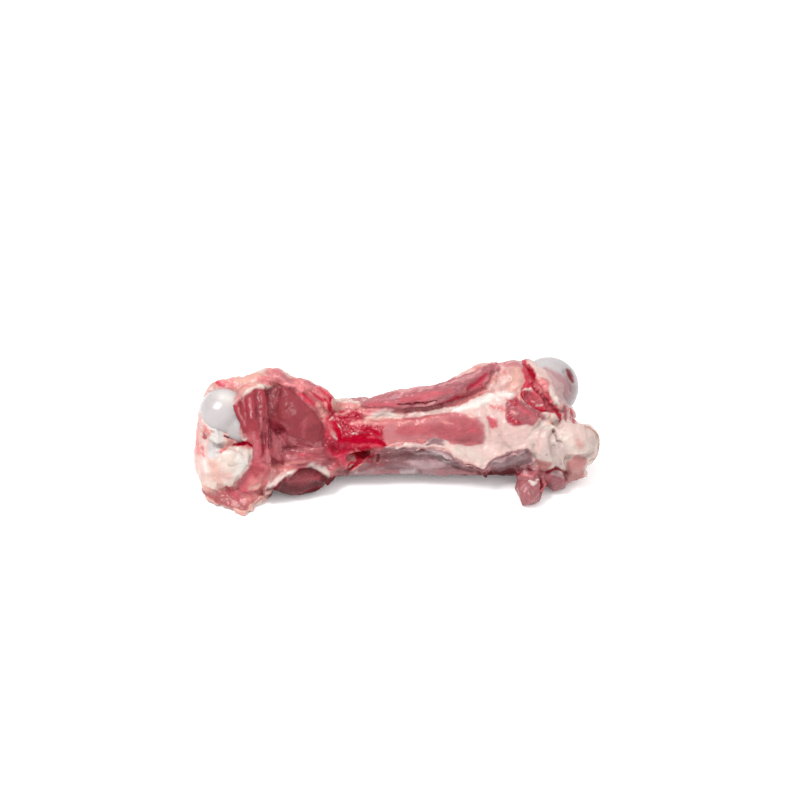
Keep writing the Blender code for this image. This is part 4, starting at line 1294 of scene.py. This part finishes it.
def lay_patches(points, shown, values, grain, patches, stray):
    """Finishes by place in the picture: closed outlines, or lines of (across, down, radius)."""
    places = warped(points, stray)
    depth = points @ np.array(VIEW_BACK)
    for name, soft, *turn, stops in patches:
        near = near_box(places, stops, PATCH_MARGIN)
        near = near[shown[near] > SHOW_LEAST]
        along = None
        if len(stops[0]) == 2:
            weight = smooth_step(outline_depth(places[near], stops) / soft + 0.5)
            if turn:
                along = (places[near] * DOT) @ [math.cos(turn[0]), -math.sin(turn[0])]
                across = (places[near] * DOT) @ [math.sin(turn[0]), math.cos(turn[0])]
        else:
            gap, frame_of_line = path_gap(places[near], smooth_path(stops, LINE_STEPS))
            weight = smooth_step((1 - gap) / soft + 0.5)
            if frame_of_line and PAINTS[name][3] > FIBROUS:
                along = frame_of_line[0] * DOT
                across = np.linalg.norm(frame_of_line[1], axis=1) * DOT
        weight = weight * shown[near]
        lay(values, near, name, weight)
        if along is not None:
            mine = weight > 0.5
            grain[near[mine]] = np.column_stack([along, across, depth[near]])[mine]


def marble(points, values):
    """Slow drifts between the kinds of fat, where nothing is laid over."""
    for name, size, offset, low in MARBLING:
        weight = smooth_step((noise_of(points, size, offset) - low) / MARBLE_SOFT) * MARBLE_SHARE
        lay(values, slice(None), name, weight)


def paint(mesh, base, zones, patches, stray):
    """For each point: its paint, its place along and across the fibres, and whether it shows."""
    points = points_of(mesh)
    shown = shows(mesh, points, vectors_of(mesh, "normal"))
    values = np.tile(PAINTS[base], (len(points), 1))
    grain = points * BASE_GRAIN
    if zones:
        marble(points, values)
        lay_zones(mesh, points, values, zones)
    lay_patches(points, shown, values, grain, patches, stray)
    return values, grain, shown


def fold(mesh, shown, creases):
    """Sinks or raises the skin along lines of the picture."""
    points, normals = points_of(mesh), vectors_of(mesh, "normal")
    places = in_picture(points) + drift(points, CREASE_STRAY_SIZE, (2.0, 6.0))
    sunk = np.zeros(len(points))
    for depth, width, line in creases:
        stops = [(*stop, width) for stop in line]
        near = near_box(places, stops, CREASE_MARGIN)
        near = near[shown[near] > SHOW_LEAST]
        gap, _ = path_gap(places[near], smooth_path(stops, LINE_STEPS))
        sunk[near] += depth * groove(gap) * shown[near]
    push_in(mesh, points, normals, sunk)


def relief(mesh, values, grain):
    """Fibres on muscle, soft lumps on fat, a step where one finish overlies another, and crags."""
    points, normals = points_of(mesh), vectors_of(mesh, "normal")
    fibres = noise_of(grain * FIBRE_COARSE, 1.0) * FIBRE_COARSE_HEIGHT
    fibres += noise_of(grain * FIBRE_FINE, 1.0, 3.0) * FIBRE_FINE_HEIGHT
    billow = 1.0 - np.abs(noise_of(points, LUMP_COARSE, 11.0)) * LUMP_FOLD
    billow += LUMP_FINE_SHARE * (1.0 - np.abs(noise_of(points, LUMP_FINE, 17.0)) * LUMP_FOLD)
    fibre, lumps, rise = values[:, 3], values[:, 4], values[:, 6]
    height = crags_of(points) * CRAG_SIZE + fibres * fibre
    height = height + (billow - LUMP_LEVEL) * LUMP_HEIGHT * lumps + rise
    push_in(mesh, points, normals, -height)


def set_attributes(mesh, values, grain):
    tint = mesh.color_attributes.new("tint", "FLOAT_COLOR", "POINT")
    rgba = np.ones((len(values), 4), np.float32)
    rgba[:, :3] = values[:, :3]
    tint.data.foreach_set("color", rgba.ravel())
    for index, name in enumerate(("fibre", "lumps", "blood")):
        layer = mesh.attributes.new(name, "FLOAT", "POINT")
        layer.data.foreach_set("value", values[:, 3 + index].astype(np.float32))
    layer = mesh.attributes.new("grain", "FLOAT_VECTOR", "POINT")
    layer.data.foreach_set("vector", grain.astype(np.float32).ravel())


# Materials

# Noises: scale, detail and roughness. Scales are in bumps for each metre, or for each mm of the grain.
STREAK_NOISE, STREAK_STRETCH = (1.0, 4.0, 0.55), (0.08, 0.8, 0.8)
THREAD_NOISE, THREAD_STRETCH = (1.0, 3.0, 0.5), (0.18, 2.6, 2.6)
MOTTLE_NOISE = (210.0, 4.0, 0.55)
FINE_NOISE = (1100.0, 3.0, 0.6)
PATCH_NOISE = (70.0, 3.0, 0.5)
SPECK_NOISE = (400.0, 4.0, 0.65)
CURL_NOISE = (780.0, 3.0, 0.6)
CLOUD_NOISE = (95.0, 4.0, 0.55)
FLECK_NOISE = (700.0, 3.0, 0.5)
FLOOR_NOISE = (3.0, 2.0, 0.5)

# What a noise or the blood becomes: its low and high, and the values there if not 0 and 1.
STREAK_SHADE = (0.3, 0.7, -0.26, 0.24)
MOTTLE_SHADE = (0.3, 0.7, -0.07, 0.06)
PATCH_SHADE = (0.35, 0.65, -0.07, 0.06)
THREAD_PALE = (0.58, 0.72)
SPECK_BLED = (0.56, 0.72)
TORN_WET = (0.35, 0.8)
CURL_DIP = (0.36, 0.5, 1.0, 0.0)
CURL_CREST = (0.52, 0.66)
FLESH_ROUGHNESS = (0.3, 0.7, 0.46, 0.28)
CARTILAGE_ROUGHNESS = (0.3, 0.7, 0.20, 0.34)
CLOUD_TONE = (0.35, 0.7, 0.0, 0.25)
FLECK_TONE = (0.55, 0.8, 0.0, 0.2)
BLOOD_DULLS = (0.3, 1.5)

# Linear colours that the noises mix in, and how much of each.
PALE_TISSUE, PALE_SHARE = (0.66, 0.40, 0.39), 0.30
BLED_FAT, BLED_SHARE = (0.56, 0.15, 0.16), 0.18
TORN_DIP, TORN_CREST, TORN_SHARE = (0.34, 0.004, 0.02), (0.68, 0.23, 0.27), 0.6
CLOUD_COLOUR = (0.62, 0.52, 0.54)
FLECK_COLOUR = (0.8, 0.7, 0.7)
FLOOR_WHITES = (0.95, 0.95, 0.95), (0.97, 0.97, 0.97)

# How the skins catch the light: bump strength and distance, depth of the light, and sheen.
STREAK_BUMP, MOTTLE_BUMP, FINE_BUMP, THREAD_BUMP, FLECK_BUMP = 0.7, 0.35, 0.15, 0.25, 0.2
BLOOD_SMOOTHS = -0.12
FLESH_BUMP = (0.6, 0.0008)
CARTILAGE_BUMP = (0.25, 0.0006)
FLESH_DEPTH = (0.12, (1.0, 0.35, 0.25), 0.002)
CARTILAGE_DEPTH = (0.25, (1.0, 0.75, 0.7), 0.003)
FLESH_SHEEN = (0.28, 0.16, 0.14)
CARTILAGE_SHEEN = (0.32, 0.18, 0.15)
LEAST_SPECULAR = 0.02
FLOOR_ROUGHNESS = 0.7
FLOOR_SPECULAR = 0.2


def node(tree, kind, **settings):
    made = tree.nodes.new(kind)
    inputs = settings.pop("inputs", {})
    for key, value in settings.items():
        setattr(made, key, value)
    for name, value in inputs.items():
        made.inputs[name].default_value = value
    return made


def feed(tree, socket, value):
    """Sets a socket to a number or a colour, or links it to another socket."""
    if isinstance(value, (int, float)):
        socket.default_value = value
    elif isinstance(value, tuple):
        socket.default_value = (*value, 1.0)
    else:
        tree.links.new(value, socket)


def attribute(tree, name, output="Fac"):
    return node(tree, "ShaderNodeAttribute", attribute_name=name).outputs[output]


def combine(tree, operation, first, *others):
    """Adds or multiplies the values, one after the other."""
    for other in others:
        made = node(tree, "ShaderNodeMath", operation=operation)
        feed(tree, made.inputs[0], first)
        feed(tree, made.inputs[1], other)
        first = made.outputs[0]
    return first


def times(tree, *values):
    return combine(tree, "MULTIPLY", *values)


def plus(tree, *values):
    return combine(tree, "ADD", *values)


def spread(tree, value, low, high, to_low=0.0, to_high=1.0):
    made = node(tree, "ShaderNodeMapRange", clamp=True, interpolation_type="SMOOTHSTEP")
    tree.links.new(value, made.inputs["Value"])
    for name, v in zip(("From Min", "From Max", "To Min", "To Max"), (low, high, to_low, to_high)):
        made.inputs[name].default_value = v
    return made.outputs["Result"]


def mix_colour(tree, factor, a, b, blend="MIX"):
    made = node(tree, "ShaderNodeMix", data_type="RGBA", blend_type=blend)
    for socket, value in ((made.inputs[0], factor), (made.inputs[6], a), (made.inputs[7], b)):
        feed(tree, socket, value)
    return made.outputs[2]


def noise_node(tree, vector, scale, detail, rough, stretch=None):
    inputs = {"Scale": scale, "Detail": detail, "Roughness": rough}
    made = node(tree, "ShaderNodeTexNoise", inputs=inputs)
    if stretch:
        place = node(tree, "ShaderNodeMapping", inputs={"Scale": stretch})
        tree.links.new(vector, place.inputs["Vector"])
        vector = place.outputs["Vector"]
    tree.links.new(vector, made.inputs["Vector"])
    return made.outputs["Fac"]


def new_shader(name):
    """A material, its node tree, its shader and the place on the object."""
    material = bpy.data.materials.new(name)
    material.use_nodes = True
    tree = material.node_tree
    place = node(tree, "ShaderNodeTexCoord").outputs["Object"]
    return material, tree, tree.nodes["Principled BSDF"], place


def add_bump(tree, shader, height, strength, distance):
    bump = node(tree, "ShaderNodeBump", inputs={"Strength": strength, "Distance": distance})
    tree.links.new(height, bump.inputs["Height"])
    tree.links.new(bump.outputs["Normal"], shader.inputs["Normal"])


def add_depth(shader, weight, radius, scale):
    shader.inputs["Subsurface Weight"].default_value = weight
    shader.inputs["Subsurface Radius"].default_value = radius
    shader.inputs["Subsurface Scale"].default_value = scale


def add_sheen(tree, shader, specular, coat, coat_roughness):
    """Sheen that fades where there is blood."""
    blood = attribute(tree, "blood")
    specular = spread(tree, blood, *BLOOD_DULLS, specular, LEAST_SPECULAR)
    tree.links.new(specular, shader.inputs["Specular IOR Level"])
    tree.links.new(spread(tree, blood, *BLOOD_DULLS, coat, 0.0), shader.inputs["Coat Weight"])
    shader.inputs["Coat Roughness"].default_value = coat_roughness


def flesh_material(name):
    material, tree, shader, place = new_shader(name)
    fibre, lumps, blood = [attribute(tree, part) for part in ("fibre", "lumps", "blood")]
    grain = attribute(tree, "grain", "Vector")
    streak = noise_node(tree, grain, *STREAK_NOISE, STREAK_STRETCH)
    thread = noise_node(tree, grain, *THREAD_NOISE, THREAD_STRETCH)
    mottle = noise_node(tree, place, *MOTTLE_NOISE)
    fine = noise_node(tree, place, *FINE_NOISE)
    # light and dark along the fibres, and slow mottling
    shade = times(tree, spread(tree, streak, *STREAK_SHADE), fibre)
    shade = plus(tree, shade, spread(tree, mottle, *MOTTLE_SHADE))
    patch = noise_node(tree, place, *PATCH_NOISE)
    shade = plus(tree, shade, spread(tree, patch, *PATCH_SHADE), 1.0)
    grey = node(tree, "ShaderNodeCombineColor")
    for channel in ("Red", "Green", "Blue"):
        tree.links.new(shade, grey.inputs[channel])
    tint = attribute(tree, "tint", "Color")
    colour = mix_colour(tree, 1.0, tint, grey.outputs["Color"], "MULTIPLY")
    # pale connective tissue between the fibres
    pale = times(tree, spread(tree, thread, *THREAD_PALE), fibre, PALE_SHARE)
    colour = mix_colour(tree, pale, colour, PALE_TISSUE)
    # blood taken up by the lumpy fat
    speck = spread(tree, noise_node(tree, place, *SPECK_NOISE), *SPECK_BLED)
    bled = times(tree, speck, times(tree, lumps, BLED_SHARE))
    colour = mix_colour(tree, bled, colour, BLED_FAT)
    # torn meat: pale crests over crimson
    wet = times(tree, spread(tree, times(tree, lumps, blood), *TORN_WET), TORN_SHARE)
    curl = noise_node(tree, place, *CURL_NOISE)
    for tone, mixed in ((CURL_DIP, TORN_DIP), (CURL_CREST, TORN_CREST)):
        colour = mix_colour(tree, times(tree, spread(tree, curl, *tone), wet), colour, mixed)
    tree.links.new(colour, shader.inputs["Base Color"])
    roughness = spread(tree, fine, *FLESH_ROUGHNESS)
    roughness = plus(tree, roughness, times(tree, blood, BLOOD_SMOOTHS))
    tree.links.new(roughness, shader.inputs["Roughness"])
    height = times(tree, streak, fibre, STREAK_BUMP)
    height = plus(tree, height, times(tree, mottle, MOTTLE_BUMP), times(tree, fine, FINE_BUMP))
    height = plus(tree, height, times(tree, thread, fibre, THREAD_BUMP))
    add_bump(tree, shader, height, *FLESH_BUMP)
    add_depth(shader, *FLESH_DEPTH)
    add_sheen(tree, shader, *FLESH_SHEEN)
    return material


def cartilage_material(name):
    material, tree, shader, place = new_shader(name)
    colour = attribute(tree, "tint", "Color")
    cloud = noise_node(tree, place, *CLOUD_NOISE)
    fleck = noise_node(tree, place, *FLECK_NOISE)
    for noise_value, tone, mixed in ((cloud, CLOUD_TONE, CLOUD_COLOUR), (fleck, FLECK_TONE, FLECK_COLOUR)):
        colour = mix_colour(tree, spread(tree, noise_value, *tone), colour, mixed, "MULTIPLY")
    tree.links.new(colour, shader.inputs["Base Color"])
    tree.links.new(spread(tree, cloud, *CARTILAGE_ROUGHNESS), shader.inputs["Roughness"])
    add_bump(tree, shader, plus(tree, cloud, times(tree, fleck, FLECK_BUMP)), *CARTILAGE_BUMP)
    add_depth(shader, *CARTILAGE_DEPTH)
    add_sheen(tree, shader, *CARTILAGE_SHEEN)
    return material


# Pieces


def dress(obj, material, replaced):
    obj.data.materials.append(material)
    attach(obj, "root")
    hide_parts(replaced)


def make_flesh():
    heap = Heap()
    knuckle_flesh(heap)
    shaft_flesh(heap)
    hip_flesh(heap)
    obj = fused("flesh_skin", heap, FLESH_VOXEL, FLESH_ROUNDS)
    mesh = obj.data
    carve(mesh, rows_of(CHANNELS) + rows_of(FAT_FOLDS))
    sway(mesh)
    values, grain, shown = paint(mesh, "base", rows_of(ZONES), rows_of(PATCHES), FLESH_STRAY)
    fold(mesh, shown, rows_of(CREASES))
    relief(mesh, values, grain)
    rest_on_table(mesh)
    set_attributes(mesh, values, grain)
    to_row(obj)
    dress(obj, flesh_material("raw flesh"), "flesh")


def make_bone():
    heap = Heap()
    femur_forms(heap)
    obj = fused("bone_skin", heap, BONE_VOXEL, BONE_ROUNDS)
    carve(obj.data, [(PIT_HALF_WIDTH, PIT_DEPTH, PIT_PATH)])
    values, grain, _ = paint(obj.data, "cartilage", [], rows_of(BONE_PATCHES), BONE_STRAY)
    set_attributes(obj.data, values, grain)
    to_row(obj)
    dress(obj, cartilage_material("wet cartilage"), "femur")


make_flesh()
make_bone()


# Stage, light and camera


def into_scene(name, data):
    made = bpy.data.objects.new(name, data)
    bpy.context.scene.collection.objects.link(made)
    return made


def make_floor():
    bm = bmesh.new()
    bmesh.ops.create_grid(bm, x_segments=1, y_segments=1, size=FLOOR_HALF)
    mesh = bpy.data.meshes.new("floor")
    bm.to_mesh(mesh)
    bm.free()
    floor = into_scene("floor", mesh)
    material, tree, shader, place = new_shader("white floor")
    cloud = noise_node(tree, place, *FLOOR_NOISE)
    tree.links.new(mix_colour(tree, cloud, *FLOOR_WHITES), shader.inputs["Base Color"])
    shader.inputs["Roughness"].default_value = FLOOR_ROUGHNESS
    shader.inputs["Emission Color"].default_value = (1.0, 1.0, 1.0, 1.0)
    shader.inputs["Emission Strength"].default_value = FLOOR_GLOW
    shader.inputs["Specular IOR Level"].default_value = FLOOR_SPECULAR
    mesh.materials.append(material)


def area_light(name, place, size, power):
    data = bpy.data.lights.new(name, "AREA")
    data.shape = "DISK"
    data.size = size
    data.energy = power
    obj = into_scene(name, data)
    obj.location = place
    obj.rotation_euler = (Vector(place) - Vector(LIT_PLACE)).to_track_quat("Z", "Y").to_euler()


def make_world():
    world = bpy.data.worlds.new("studio")
    world.use_nodes = True
    background = world.node_tree.nodes["Background"]
    background.inputs["Color"].default_value = (1, 1, 1, 1)
    background.inputs["Strength"].default_value = WORLD_STRENGTH
    bpy.context.scene.world = world


def make_camera():
    data = bpy.data.cameras.new("camera")
    data.lens = LENS
    data.sensor_width = SENSOR
    camera = into_scene("camera", data)
    camera.location = (CAMERA_PLACE + SHIFT) * MM
    camera.rotation_euler = VIEW_BACK.to_track_quat("Z", "Y").to_euler()
    bpy.context.scene.camera = camera


make_floor()
area_light("key", KEY_PLACE, KEY_SIZE, KEY_POWER)
area_light("fill", FILL_PLACE, FILL_SIZE, FILL_POWER)
make_world()
make_camera()
bpy.context.scene.view_settings.view_transform = "Standard"
